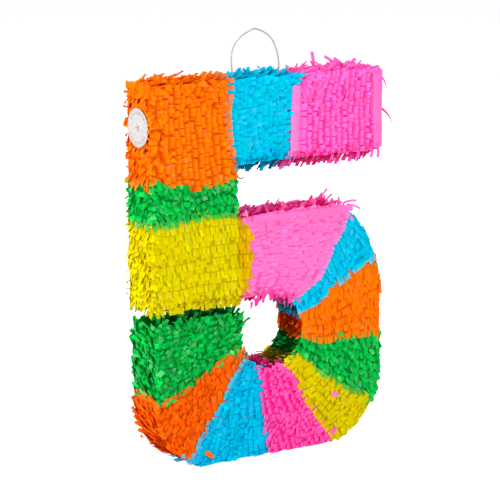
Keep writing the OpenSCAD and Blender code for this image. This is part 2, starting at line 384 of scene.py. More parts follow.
DEF = dict(depth=0.6, pitch=9.5, L=(15.2, 17.8), w=5.4, ja=3.0, jf=3, rise=1.7, kick=0.35, lift=1.0, loose=0.16, bend=0.06, twist=0.05,
           cvar=0.045, over=(-1, 6), wave=1.3, hd=6.0, sheer=0.12)
LOOK = {
    "orange_top": dict(DEF, L=(16.2, 17.2), short=0.015, depth=0.8, line=0.08, deep=0.05, cup=0.5, sheer=0.07, ja=4, wave=1.8, over=(0, 7), kick=0.6, loose=0.16, cvar=0.025),
    "blue_top": dict(DEF, deep=0.04, sheer=0.0, depth=0.4, twist=0.035, ja=4, lift=0.8, kick=0.2, loose=0.11, cvar=0.02, over=(-1, 2)),
    "pink_bar": dict(DEF, L=(16.2, 17.2), short=0.015, depth=0.95, line=0.10, deep=0.05, cup=0.5, ja=2.5, wave=1.8, kick=0.8, loose=0.17, lift=1.1, cvar=0.025, twist=0.04, f0=6.0, over=(-6, -2)),
    "green_stem": dict(DEF, depth=0.85, pale_max=0.10, gap=0.86, pitch=7.2, L=(9, 14), w=5.6, ja=20, jf=16, kick=0.45, lift=1.4, loose=0.36, bend=0.22, twist=0.14, cvar=0.10,
                       pale=0.25, deep=0.25, over=(-2, 9), sheer=0.08),
    "yellow_stem": dict(DEF, depth=0.5, sheer=0.36, deep=0.05, ja=4, kick=0.2, loose=0.10, over=(4, 12), cvar=0.03),
    "pink_bowl": dict(DEF, depth=0.42, deep=0.04, ja=2, jf=2, kick=0.15, rise=1.3, lift=0.8, loose=0.08, L=(19.5, 22), pitch=12.5, w=4.7, gap=0.84, twist=0.07, bend=0.03,
                      cvar=0.03, over=(-3, 6), pale=0.2),
    "blue_bowl": dict(DEF, sheer=0.2, deep=0.05, ja=3, kick=0.2, loose=0.1, cvar=0.03, over=(-2, 7)),
    "orange_right": dict(DEF, sheer=0.08, ja=4, kick=0.35, loose=0.15, cvar=0.04, over=(-1, 5)),
    "green_right": dict(DEF, sheer=0.1, depth=0.8, pale_max=0.06, gap=0.86, pitch=7.8, ja=14, jf=10, L=(11, 16), w=5.5, kick=0.35, lift=1.2, loose=0.3, bend=0.16, twist=0.10, cvar=0.08,
                        pale=0.18, deep=0.18, over=(-2, 8)),
    "yellow_lower": dict(DEF, sheer=0.2, ja=4, kick=0.2, loose=0.12, cvar=0.03, over=(-3, 8)),
    "pink_lower": dict(DEF, depth=1.0, line=0.1, deep=0.06, ja=5, wave=2.2, kick=0.8, loose=0.24, lift=1.1, cvar=0.05, over=(-2, 7)),
    "blue_lower": dict(DEF, depth=0.48, sheer=0.12, ja=5, jf=5, kick=0.3, loose=0.18, cvar=0.035, over=(-2, 8)),
    "orange_end": dict(DEF, sheer=0.1, pitch=8.5, ja=10, jf=7, kick=0.6, loose=0.35, lift=1.3, cvar=0.06, deep=0.2, over=(-2, 10)),
    "green_end": dict(DEF, depth=0.8, pale_max=0.08, gap=0.86, sheer=0.1, pitch=7.0, L=(8, 13), w=5.6, ja=24, jf=18, kick=0.4, lift=1.3, loose=0.32, bend=0.22, twist=0.15, cvar=0.10,
                      pale=0.25, deep=0.25, over=(0, 4)),
}

# rows run from line A, where a colour starts, to line B, where its tips end
FLOW = {
    "orange_top": ([(-10, 340), (-10, 510)], [(136, 340), (127, 387), (120, 423), (116, 456), (121, 510)]),
    "blue_top": ([(130, 380), (119, 423), (116, 456), (121, 510)], [(210, 380), (210, 394), (212, 474), (231, 496), (231, 512)]),
    "pink_bar": ([(211, 380), (211, 394), (211, 460), (214, 476), (228, 500), (228, 512)], [(359, 380), (359, 512)]),
    "green_stem": (GO, [(-10, 332), (20, 320), (56, 324), (83, 327), (138, 327)]),
    "yellow_stem": ([(-10, 332), (20, 320), (56, 324), (83, 327), (160, 327)], [(-10, 213), (60, 214), (160, 214)]),
    "pink_bowl": ([(133, 200), (142, 233), (147, 252), (154, 265), (147, 300), (147, 330)], PB[1:]),
    "blue_bowl": (PB, BO),
    "orange_right": (BO, OG),
    "green_right": (OG, GY),
    "yellow_lower": (GY, YP),
    "pink_lower": (YP, PU),
    "blue_lower": (PU, UO),
    "orange_end": (UO, OE),
    "green_end": (OE, [HC, (138, 198), (92, 199), (40, 199), (-10, 199)]),
}


def face_zone(name, side, seed):
    """Fringe of one colour on the front (side -1) or the back (side 1)."""
    rng = np.random.default_rng(seed)
    prm = LOOK[name]
    own = ZI[name]
    col = ZONES[own][1]
    pile = piles.setdefault(name, Pile())
    M = 160
    A, B = resample(FLOW[name][0], M), resample(FLOW[name][1], M)
    W = np.hypot(*(B - A).T) + 1e-6
    Dm = (B - A) / W[:, None]
    Lm = sum(prm["L"]) / 2
    om = sum(prm["over"]) / 2
    f0 = prm.get("f0", -5.0)
    span = np.maximum(W - Lm + om - f0, 0)
    n = int(math.ceil(span.max() / prm["pitch"])) + 1
    lp = span / max(n - 1, 1)
    lean = Field(rng, 26.0)
    puff = Field(rng, 34.0)
    need = np.where(lp < 0.62 * prm["pitch"], np.ceil(np.log2(0.62 * prm["pitch"] / np.maximum(lp, 0.05))), 0).astype(int)
    for k in range(n):
        line = A + Dm * (f0 + k * lp + prm["wave"] * wobble(rng, M, W.mean() / 12))[:, None]
        ok = (k % (2 ** np.minimum(need, 12))) == 0
        d = np.concatenate([[0], np.cumsum(np.hypot(*np.diff(line, axis=0).T))])
        if d[-1] < 8:
            continue
        F = int(d[-1] / prm["w"])
        ws = np.clip(rng.normal(1, 0.14, F), 0.6, 1.5)
        s = np.concatenate([[0], np.cumsum(ws)])
        s *= d[-1] / s[-1]
        s = np.sort(np.concatenate([s, (s[1:] + s[:-1]) / 2]))
        P = np.stack([np.interp(s, d, line[:, 0]), np.interp(s, d, line[:, 1])], 1)
        w = np.hypot(*(P[2::2] - P[:-2:2]).T)
        mid = P[1::2]
        Df = np.stack([np.interp(s[1::2], d, Dm[:, 0]), np.interp(s[1::2], d, Dm[:, 1])], 1)
        ang = np.arctan2(Df[:, 1], Df[:, 0]) + np.radians(prm["jf"]) * 2.0 * lean(mid) \
            + np.radians(rng.normal(0, prm["ja"], F)) * np.where(rng.random(F) < 0.14, 3.0, 1.0)
        D = np.stack([np.cos(ang), np.sin(ang)], 1)
        lo_, hi_ = prm["L"]
        L = rng.uniform(lo_, hi_) + rng.uniform(-0.22, 0.22, F) * (hi_ - lo_)
        L = L * np.where(rng.random(F) < prm.get("short", 0.07), 0.72, 1.0)
        keep = (np.interp(s[1::2], d, ok.astype(float)) > 0.5) & (sdf(mid) < -0.6)
        # side limits of the zone, ragged row by row
        cut = rng.uniform(-3.5, 3.5)
        if name == "orange_top":
            lim = np.interp(mid[:, 0], [p[0] for p in GO], [p[1] for p in GO])
            keep &= mid[:, 1] > lim + cut
        if name == "yellow_stem":
            zs, xs = [200, 214, 233, 252, 261, 300, 321, 345], [133, 133, 142, 147, 155, 151, 147, 147]
            keep &= mid[:, 0] < np.interp(mid[:, 1], zs, xs) - 1 + cut
        # no tip reaches further past the rim than it should
        lim = rng.uniform(0.5, 3.0, F) + np.where(rng.random(F) < 0.05, rng.uniform(1, 5, F), 0)
        if name == "yellow_stem":
            lim = np.where(mid[:, 1] < 245, rng.uniform(6, 16, F), lim)
        if name == "green_end":
            lim = np.where(mid[:, 1] > 176, rng.uniform(2, 8, F), lim)
        if name == "pink_bowl":
            lim = np.where((mid[:, 1] < 232), rng.uniform(3, 11, F), lim)
        for _ in range(12):
            tip = mid + D * L[:, None]
            far = sdf(tip) > lim
            L = np.where(far, L * 0.86, L)
        keep &= L > 3.2
        if not keep.any():
            continue
        hd = np.full(2 * F + 1, prm["hd"])
        Du = np.stack([np.interp(s, d, Dm[:, 0]), np.interp(s, d, Dm[:, 1])], 1)
        for _ in range(5):
            hd = np.where(sdf(P - Du * hd[:, None]) > -0.4, hd * 0.55, hd)
        up = P - Du * hd[:, None]
        h0 = np.full((F, 1), 1.0) + 0.25 * puff(mid)[:, None] + 0.2
        co, quads, fing, tv, cell, uvs = comb(P, D, keep, L, w, prm, rng, up, h0)
        g = np.clip((1.5 - sdf(co[:, :2])) / 5.0, 0.6, 1.0)
        h = np.clip(co[:, 2], 0.3, 9.0) * g
        ahead = co[:, :2] + D[fing] * 4.5
        under = zone_at(ahead)
        under = np.where(tv > 0.35, under, own)
        if name == "orange_top":
            under = np.where(ahead[:, 1] < np.interp(ahead[:, 0], [p[0] for p in GO], [p[1] for p in GO]) + 3, own, under)
        if name == "yellow_stem":
            under = np.where(co[:, 0] > 131 + 4 * lean(co[:, :2]), ZI["pink_bowl"], under)
        base = tints(rng, F, col, prm)[fing]
        # paint() lays painted shade on each finger, only a little on the first row
        c = paint(rng, base, tv, own, under, prm["sheer"], prm["depth"] if k > 0 else 0.1, prm.get("line", 0.0))
        xyz = np.stack([co[:, 0] + XL, side * (CARD + h), np.maximum(co[:, 1], 0.4)], 1)
        if side > 0:
            quads, uvs = quads[:, ::-1], uvs[:, ::-1]
        pile.add(xyz, c, quads, cell, uvs)


def face_skin(side):
    """The glued sheet under the fingers, in its zones' deep tone: painted shade where it shows between the fingers."""
    S = 7.0
    nx, nz = int(366 / S) + 2, int(508 / S) + 2
    ux, uz = np.meshgrid(np.arange(nx) * S - 4, np.arange(nz) * S - 4, indexing="ij")
    P = np.stack([ux, uz], -1)
    # pull the points near the rim onto it
    e = 0.5
    for _ in range(6):
        sd = sdf(P)
        g = np.stack([sdf(P + [e, 0]) - sdf(P - [e, 0]), sdf(P + [0, e]) - sdf(P - [0, e])], -1)
        g /= np.maximum(np.hypot(g[..., 0], g[..., 1]), 1e-6)[..., None]
        move = (sd > -1.8) & (sd < S * 0.9)
        P = np.where(move[..., None], P - g * (sd + 1.8)[..., None], P)
    sd = sdf(P)
    cen = (P[:-1, :-1] + P[1:, :-1] + P[1:, 1:] + P[:-1, 1:]) / 4
    area = np.abs(np.cross(P[1:, 1:] - P[:-1, :-1], P[:-1, 1:] - P[1:, :-1])) / 2
    good = (sdf(cen) < -1.2) & (sd[:-1, :-1] < 0) & (sd[1:, :-1] < 0) & (sd[1:, 1:] < 0) & (sd[:-1, 1:] < 0) & (area > 2)
    zid = zone_at(cen)
    idx = np.arange(P.shape[0] * P.shape[1]).reshape(P.shape[:2])
    for name, i in ZI.items():
        m = good & (zid == i)
        if not m.any():
            continue
        quads = np.stack([idx[:-1, :-1][m], idx[1:, :-1][m], idx[1:, 1:][m], idx[:-1, 1:][m]], 1)
        used = np.unique(quads)
        remap = np.full(idx.size, -1)
        remap[used] = np.arange(len(used))
        p = P.reshape(-1, 2)[used]
        xyz = np.stack([p[:, 0] + XL, np.full(len(p), side * (CARD + 0.45)), p[:, 1]], 1)
        # painted shade: the sheet takes the shaded deep tone of its zone
        c = np.broadcast_to(DEEP_SHADE[i] * 0.9, (len(p), 3)).copy()
        quads = remap[quads]
        if side > 0:
            quads = quads[:, ::-1]
        uv = np.broadcast_to(np.array([[0, 0], [1, 0], [1, 1], [0, 1.0]]), (len(quads), 4, 2))
        piles.setdefault(name, Pile()).add(xyz, c, quads, np.arange(len(quads)), uv)


# rim: lift, limit of lift, flow along the walk (+1) or against it (-1), tip reach past an open end; depth and dark set
# the painted shade on each rim's strips
EDGE = {
    "top": dict(flow=1, lift=2.4, loose=0.55, lift_max=9, ja=22, L=(11, 18), rise=2.0, over=3, depth=1.1),
    "bar_end": dict(flow=1, lift=0.4, loose=0.06, kick=0.1, ja=4, L=(14, 18), over=5),
    "underside": dict(flow=1, lift=2.4, loose=0.5, lift_min=9.0, lift_max=6, ja=16, L=(12, 18), rise=2.0, over=3, depth=1.5, dark=1.45),
    "stem_inner": dict(flow=1, lift=1.4, loose=0.3, ja=12, L=(11, 17), over=0),
    "bowl_top": dict(flow=1, lift=3.0, loose=0.45, lift_max=12, ja=30, L=(11, 18), rise=2.0, over=3, depth=1.5, dark=1.5),
    "shoulder": dict(flow=1, lift=1.5, loose=0.3, ja=10, L=(12, 18), over=6),
    "right": dict(flow=1, lift=1.6, loose=0.3, ja=12, L=(12, 18), over=6),
    "lower_right": dict(flow=1, lift=1.4, loose=0.3, ja=12, L=(12, 18), over=6),
    "bottom": dict(flow=1, lift=0.1, loose=0.1, lift_max=0.3, rise=1.4, kick=0.1, ja=6, L=(12, 18), over=4, twist=0.02, curl=0.1),
    "lower_left": dict(flow=1, lift=2.2, loose=0.45, lift_max=9, ja=13, L=(15, 24), over=5, depth=1.3),
    "end_side": dict(flow=1, lift=2.2, loose=0.5, lift_max=8, ja=24, jf=14, L=(12, 20), over=6, bend=0.3, twist=0.16),
    "end_top": dict(flow=1, lift=4.0, loose=0.6, lift_max=10, ja=30, L=(9, 15), over=2, bend=0.3, depth=1.4, dark=1.5),
    "hole": dict(flow=-1, lift=3.0, loose=0.5, lift_max=9, ja=20, L=(10, 16), over=3, depth=1.4, dark=1.7),
    "stem_bottom": dict(flow=1, lift=4.0, loose=0.5, lift_min=2.0, lift_max=9, ja=22, L=(9, 15), over=3, depth=1.4, dark=1.4),
    "left": dict(flow=-1, lift=1.7, loose=0.42, lift_max=5.5, ja=20, jf=12, L=(9, 14), over=8, bend=0.22, twist=0.12, depth=0.75),
}
SEGS = {g.name: g for g in rim(4.0)}


def edge_rows(gname, seed, window=None, target=None):
    rng = np.random.default_rng(seed)
    g = SEGS[gname]
    e = EDGE[gname]
    lean, puff = Field(rng, 22.0), Field(rng, 30.0)
    s = rng.uniform(0, 3)
    rows = []
    while s < g.len:
        rows.append(s)
        s += 7.6 * rng.uniform(0.85, 1.15)
    if e["flow"] < 0:
        rows = [g.len - r for r in rows]
    flap = target == "flap"
    if flap:
        rows = [g.len * 0 + (z - 220.0) for z in np.arange(FLAP_Z1 - 2.5, FLAP_Z0 + 6, -7.8)]
    for k, s0 in enumerate(rows):
        p0 = g.at(np.array([s0]))[0]
        n0 = g.at(np.array([s0]))[2]
        zid = int(zone_at(p0 - 2.0 * n0)[0])
        if gname == "bowl_top":
            zid = ZI["pink_bowl"]
        if gname == "stem_inner" and zid == ZI["yellow_stem"]:
            zid = ZI["green_stem"]
        if zid < 0:
            continue
        name = ZONES[zid][0]
        base_prm = LOOK[name]
        prm = dict(base_prm)
        for key in ("lift", "loose", "ja", "L", "rise", "kick", "lift_max", "bend", "twist", "curl", "jf"):
            if key in e:
                prm[key] = e[key]
        if "green" in name:
            prm["lift"] = prm["lift"] * 1.25
            prm["ja"] = prm["ja"] * 1.2
        half = 18.4 if flap else 28.5 if gname in ("bottom", "bowl_top", "bar_end") else 32.5 + rng.uniform(-3, 3)
        F = int(2 * half / prm["w"])
        ws = np.clip(rng.normal(1, 0.14, F), 0.6, 1.5)
        v = np.concatenate([[0], np.cumsum(ws)])
        v = -half + v * 2 * half / v[-1]
        v = np.sort(np.concatenate([v, (v[1:] + v[:-1]) / 2]))
        u = s0 + 1.3 * wobble(rng, 2 * F + 1, 4)
        if flap:
            u = np.clip(u, 220 * 0 + FLAP_Z0 - 220 + 3, FLAP_Z1 - 220 - 1.5)
        P = np.stack([u, v], 1)
        mid = P[1::2]
        w = v[2::2] - v[:-2:2]
        ang = (0 if e["flow"] > 0 else math.pi) + np.radians(prm["jf"]) * 2 * lean(mid) + np.radians(rng.normal(0, prm["ja"], F))
        D = np.stack([np.cos(ang), np.sin(ang)], 1)
        L = rng.uniform(*prm["L"], F)
        keep = np.ones(F, bool)
        for _ in range(14):
            tip = mid + D * L[:, None]
            bad = np.abs(tip[:, 1]) > (30.0 if gname in ("bottom", "bowl_top", "bar_end") else 38.0)
            hi, lo = g.len + (e["over"] if g.open1 else -1.0), -(e["over"] if g.open0 else -1.0)
            bad |= (tip[:, 0] > hi) | (tip[:, 0] < lo)
            if flap:
                bad |= np.abs(tip[:, 1]) > 19.6
                bad |= tip[:, 0] < FLAP_Z0 - 220 - 6.5
            elif gname == "left":
                zt = tip[:, 0] + 220
                bad |= (np.abs(tip[:, 1]) < 19.9) & (zt > FLAP_Z0 - 0.5) & (zt < FLAP_Z1 - 0.3)
            L = np.where(bad, L * 0.86, L)
        if gname == "left" and not flap:
            zr = mid[:, 0] + 220
            at_flap = (zr > FLAP_Z0 - 1) & (zr < FLAP_Z1 + 1)
            keep &= ~(at_flap & (np.abs(mid[:, 1]) - w / 2 < 19.6))
            keep &= ~((zr > FLAP_Z0 - 1.5) & (zr < FLAP_Z1 + 3.0) & (np.abs(mid[:, 1]) < 19.9) & (zr - L < FLAP_Z1 - 0.6))
        keep &= L > 2.5
        if not keep.any():
            continue
        hdv = prm["hd"] * 0.8
        up = P + np.array([-hdv if e["flow"] > 0 else hdv, 0.0])
        if flap:
            up[:, 0] = np.minimum(up[:, 0], FLAP_Z1 - 220 - 0.6)
        elif gname == "left":
            zu = up[:, 0] + 220
            cross = (np.abs(up[:, 1]) < 19.8) & (zu > FLAP_Z0 - 1.5) & (zu < FLAP_Z1 + 1)
            up[:, 0] = np.where(cross, np.minimum(up[:, 0], FLAP_Z0 - 220 - 1.5), up[:, 0])
        up[:, 0] = np.clip(up[:, 0], -2.6 if g.open0 else 0.3, g.len + (2.6 if g.open1 else -0.3))
        h0 = 1.0 + 0.3 * puff(mid)[:, None] + (1.1 if gname in ("left", "end_side") else 0.2)
        sc = np.clip((29.0 - np.abs(mid[:, 1])) / 7.0, 0.25, 1.0)
        if gname == "hole":
            sc = sc * (0.35 + 0.9 * np.abs(n0[0, 1]))
        prm["lift_scale"] = sc
        co, quads, fing, tv, cell, uvs = comb(P, D, keep, L, w, prm, rng, up, h0)
        h = co[:, 2]
        if "lift_min" in e:
            h = h + e["lift_min"] * np.clip(tv, 0, 1) ** 1.3 * sc[fing]
        # strips flatten towards the figure's outer corners, which end up rounded
        far = np.full(len(h), 99.0)
        if g.open0:
            far = np.minimum(far, co[:, 0])
        if g.open1:
            far = np.minimum(far, g.len - co[:, 0])
        if g.c is None and gname in ("top", "bar_end", "left", "underside"):
            h = h * np.clip(0.5 + 0.5 * (far + 2.6) / 6.0, 0.4, 1.0)
        if gname == "top":
            h = h + 2.4 * np.clip(1 - np.abs(co[:, 0] - 14) / 34.0, 0, 1) * np.clip(tv + 0.6, 0, 1)
        h = np.maximum(h, 0.3)
        if gname == "bottom":
            h = np.minimum(h, 3.3)
        if gname == "left" or flap:
            near = np.hypot(co[:, 0] + 220 - LABEL_Z, co[:, 1]) < LABEL_R + 1.5
            h = np.where(near, np.minimum(h, 3.3), h)
        p, t, nn = g.at(co[:, 0])
        # strips wrap round the card's long edges on to the front and the back
        RC = 2.4
        o = np.abs(co[:, 1]) - 26.0
        phi = np.clip(o / RC, 0, math.pi / 2)
        past = np.clip(o - RC * math.pi / 2, 0, None)
        hn = np.where(o > 0, h * np.cos(phi), h)
        hy = np.where(o > 0, np.minimum(h, 8.5) * np.sin(phi), 0.0)
        yv = np.sign(co[:, 1]) * (np.minimum(np.abs(co[:, 1]), 26.0) + hy)
        xz = p + nn * (hn - past)[:, None]
        under = zone_at(g.at(np.clip(co[:, 0], 0.5, g.len - 0.5))[0] - 2.0 * nn)
        base = tints(rng, F, ZONES[zid][1], prm)[fing]
        # painted shade on rims that sit in shade (the bar's underside, the bowl's top, the end's top, the opening and
        # the stem's underside): darker towards the middle of the rim, less on lifted tips, darkest in the opening
        if "dark" in e:
            shade_share = np.clip(1.6 - np.abs(co[:, 1]) / 26.0, 0.3, 1)[:, None] * np.clip(1.25 - 0.9 * np.clip(tv, 0, 1) * (h > 5), 0, 1)[:, None]
            base = base * (1 - shade_share) + DEEP_SHADE[zid] * (base.sum(1) / ZCOL[zid].sum())[:, None] * (1.0 if e["dark"] < 1.6 else 0.7) * shade_share
        # painted root shade from paint(), lighter on yellow and blue
        c = paint(rng, base, tv, zid, under, 0.12, 0.1 if k == 0 else e.get("depth", 1.0) * (0.75 if "yellow" in name or "blue" in name else 1.0))
        xyz = np.stack([xz[:, 0] + XL, yv, np.maximum(xz[:, 1], 0.35)], 1)
        # walk x y is left-handed to the outward side
        quads, uvs = quads[:, ::-1], uvs[:, ::-1]
        key = name
        if gname == "bottom":
            key = "bottom_blue" if p0[0, 0] < 174 else "bottom_pink"
        if flap:
            key = "flap"
        piles.setdefault(key, Pile()).add(xyz, c, quads, cell, uvs)


def edge_skin(gname, target=None):
    g = SEGS[gname]
    ys = np.linspace(-27.2, 27.2, 9)
    n = max(2, int(g.len / 7.0))
    ss = np.linspace(0, g.len, n + 1)
    if target == "flap":
        ys = np.linspace(-18.7, 18.7, 6)
        ss = np.linspace(FLAP_Z0 - 220 + 0.4, FLAP_Z1 - 220 - 0.5, 9)
    elif gname == "left":
        ys = np.array([-27.2, -23.4, -19.7, -13, -6.5, 0, 6.5, 13, 19.7, 23.4, 27.2])
        ss = np.concatenate([np.linspace(0, FLAP_Z0 - 221.4, 28), np.linspace(FLAP_Z1 - 219.6, g.len, 4)])
    for i in range(len(ss) - 1):
        for_hole = gname == "left" and target is None and ss[i] >= FLAP_Z0 - 222 and ss[i + 1] <= FLAP_Z1 - 219
        a, b = ss[i], ss[i + 1]
        pa, _, na = g.at(np.array([a]))
        pb, _, nb = g.at(np.array([b]))
        m = g.at(np.array([(a + b) / 2]))
        zid = int(zone_at(m[0] - 2.0 * m[2])[0])
        if gname == "bowl_top":
            zid = ZI["pink_bowl"]
        if zid < 0:
            continue
        name = ZONES[zid][0]
        rows = []
        for p, nn in ((pa[0], na[0]), (pb[0], nb[0])):
            xz = p + nn * 0.4
            rows.append(np.stack([np.full(len(ys), xz[0] + XL), ys, np.full(len(ys), max(xz[1], 0.4))], 1))
        co = np.concatenate(rows)
        k = np.arange(len(ys) - 1)
        if for_hole:
            k = k[(np.abs(ys[:-1] + ys[1:]) / 2) > 19.7]
        quads = np.stack([k, k + 1, k + 1 + len(ys), k + len(ys)], 1)[:, ::-1]
        used = np.unique(quads)
        remap = np.full(len(co), -1)
        remap[used] = np.arange(len(used))
        uv = np.broadcast_to(np.array([[0, 0], [1, 0], [1, 1], [0, 1.0]]), (len(quads), 4, 2))
        key = name
        if gname == "bottom":
            key = "bottom_blue" if m[0][0, 0] < 174 else "bottom_pink"
        if target == "flap":
            key = "flap"
        # painted shade: the rim's sheet takes the shaded deep tone of its zone
        c = np.broadcast_to(DEEP_SHADE[zid] * 0.9, (len(used), 3)).copy()
        piles.setdefault(key, Pile()).add(co[used], c, remap[quads], np.arange(len(quads)), uv)


def band(name, line, width, side, h, seed, tint_zone=None, mix=0.0, depth=None):
    """A plain uncut header band glued along a line on the front or back. width runs to the right of the line."""
    rng = np.random.default_rng(seed)
    n = 40
    P = resample(line, n)
    T = np.gradient(P, axis=0)
    T /= np.hypot(*T.T)[:, None]
    N = np.stack([T[:, 1], -T[:, 0]], 1)
    m = 5
    co = np.zeros((n, m, 3))
    wv = wobble(rng, n, n / 3) * 0.35
    for j in range(m):
        f = j / (m - 1)
        q = P + N * (width * f + (wv if j in (0, m - 1) else 0))[..., None] if j in (0, m - 1) else P + N * (width * f)
        co[:, j, 0], co[:, j, 1] = q[:, 0], q[:, 1]
        co[:, j, 2] = h + 0.22 * wobble(rng, n, n / 4) + 0.3 * math.sin(math.pi * f) - (0.5 if j == m - 1 else 0)
    idx = np.arange(n * m).reshape(n, m)
    quads = np.stack([idx[:-1, :-1], idx[:-1, 1:], idx[1:, 1:], idx[1:, :-1]], -1).reshape(-1, 4)
    if N[0, 0] * T[0, 1] - N[0, 1] * T[0, 0] < 0:
        quads = quads[:, ::-1]
    co = co.reshape(-1, 3)
    own = ZI[name]
    c = np.broadcast_to(ZONES[own][1] * 1.0, (len(co), 3)).copy()
    if tint_zone:
        c = c * (1 - mix) + ZCOL[ZI[tint_zone]] * mix
    c *= 1 + rng.normal(0, 0.015, (len(co), 1))
    xyz = np.stack([co[:, 0] + XL, side * (CARD + co[:, 2]), co[:, 1]], 1)
    if side > 0:
        quads = quads[:, ::-1]
    uv = np.broadcast_to(np.array([[0, 0], [1, 0], [1, 1], [0, 1.0]]), (len(quads), 4, 2))
    piles[name].add(xyz, np.clip(c, 0, 1), quads, np.arange(len(quads)), uv)


def slip(name, p0, p1, w, bow=(0, 0, 0), face=(0, -1, 0), tint=1.0, turn=0.0, n=8, dark=0.0, root=0.0):
    """A loose cut finger between two points of the part, mm. bow lifts its middle. dark mixes painted shade over the
    whole finger and root near its root.
    """
    p0, p1, bow, face = (np.array(v, float) for v in (p0, p1, bow, face))
    t = np.linspace(0, 1, n)[:, None]
    c = p0 + (p1 - p0) * t + bow * np.sin(math.pi * t)
    d = np.gradient(c, axis=0)
    d /= np.linalg.norm(d, axis=1)[:, None]
    s = np.cross(d, face)
    s /= np.linalg.norm(s, axis=1)[:, None]
    f = np.cross(s, d)
    a = math.radians(turn) * t
    s = s * np.cos(a) + f * np.sin(a)
    co = np.stack([c - s * w / 2, c + f * 0.12, c + s * w / 2], 1).reshape(-1, 3)
    k = np.arange(n - 1)
    quads = np.concatenate([np.stack([3 * k + j, 3 * k + j + 1, 3 * k + j + 4, 3 * k + j + 3], 1) for j in range(2)])
    own = ZI[name]
    # painted shade: share of the shaded deep tone, over the whole finger and more near the root
    shade_share = np.repeat(np.clip(dark + root * np.clip(1 - t[:, 0] * 3.0, 0, 1), 0, 1), 3)[:, None]
    colr = np.clip((ZCOL[own] * (1 - shade_share) + DEEP_SHADE[own] * shade_share) * tint, 0, 1)
    uv = np.broadcast_to(np.array([[0, 0], [1, 0], [1, 1], [0, 1.0]]), (len(quads), 4, 2))
    co[:, 1] = np.clip(co[:, 1], -36.0, 36.0)
    co[:, 2] = np.maximum(co[:, 2], 0.35)
    piles[name].add(co + [XL, 0, 0], colr, quads, np.arange(len(quads)), uv)


def dabs(name, side, n, box, seed, aim=0.0, spread=60, length=(8, 13), width=(4.8, 6.6), h=(3.0, 5.2)):
    """Crumpled fingers lying loose over one patch of the front or back. aim: mean direction, degrees up from the right."""
    rng = np.random.default_rng(seed)
    x0_, x1_, z0_, z1_ = box
    for i in range(n):
        a = math.radians(aim + rng.normal(0, spread))
        l = rng.uniform(*length)
        x, z = rng.uniform(x0_, x1_), rng.uniform(z0_, z1_)
        ends = np.array([[x, z], [x + l * math.cos(a), z + l * math.sin(a)], [x + l * 0.5 * math.cos(a), z + l * 0.5 * math.sin(a) - 3.0]])
        if (zone_at(ends) != ZI[name]).any() or (sdf(ends) > 1.5).any():
            continue
        y0_, y1_ = side * (CARD + h[0] + rng.uniform(-0.3, 0.3)), side * (CARD + rng.uniform(h[0] + 0.4, h[1]))
        # painted shade near each root, and a random share of it over the finger
        slip(name, (x, y0_, z), (x + l * math.cos(a), y1_, z + l * math.sin(a)), rng.uniform(*width), (0, side * rng.uniform(0.2, 1.1), 0),
             face=(0.25 * rng.normal(), side, 0.25 * rng.normal()), tint=rng.uniform(0.9, 1.04), turn=rng.normal(0, 16), n=7,
             dark=max(0.0, rng.normal(0.04, 0.12)), root=0.7)


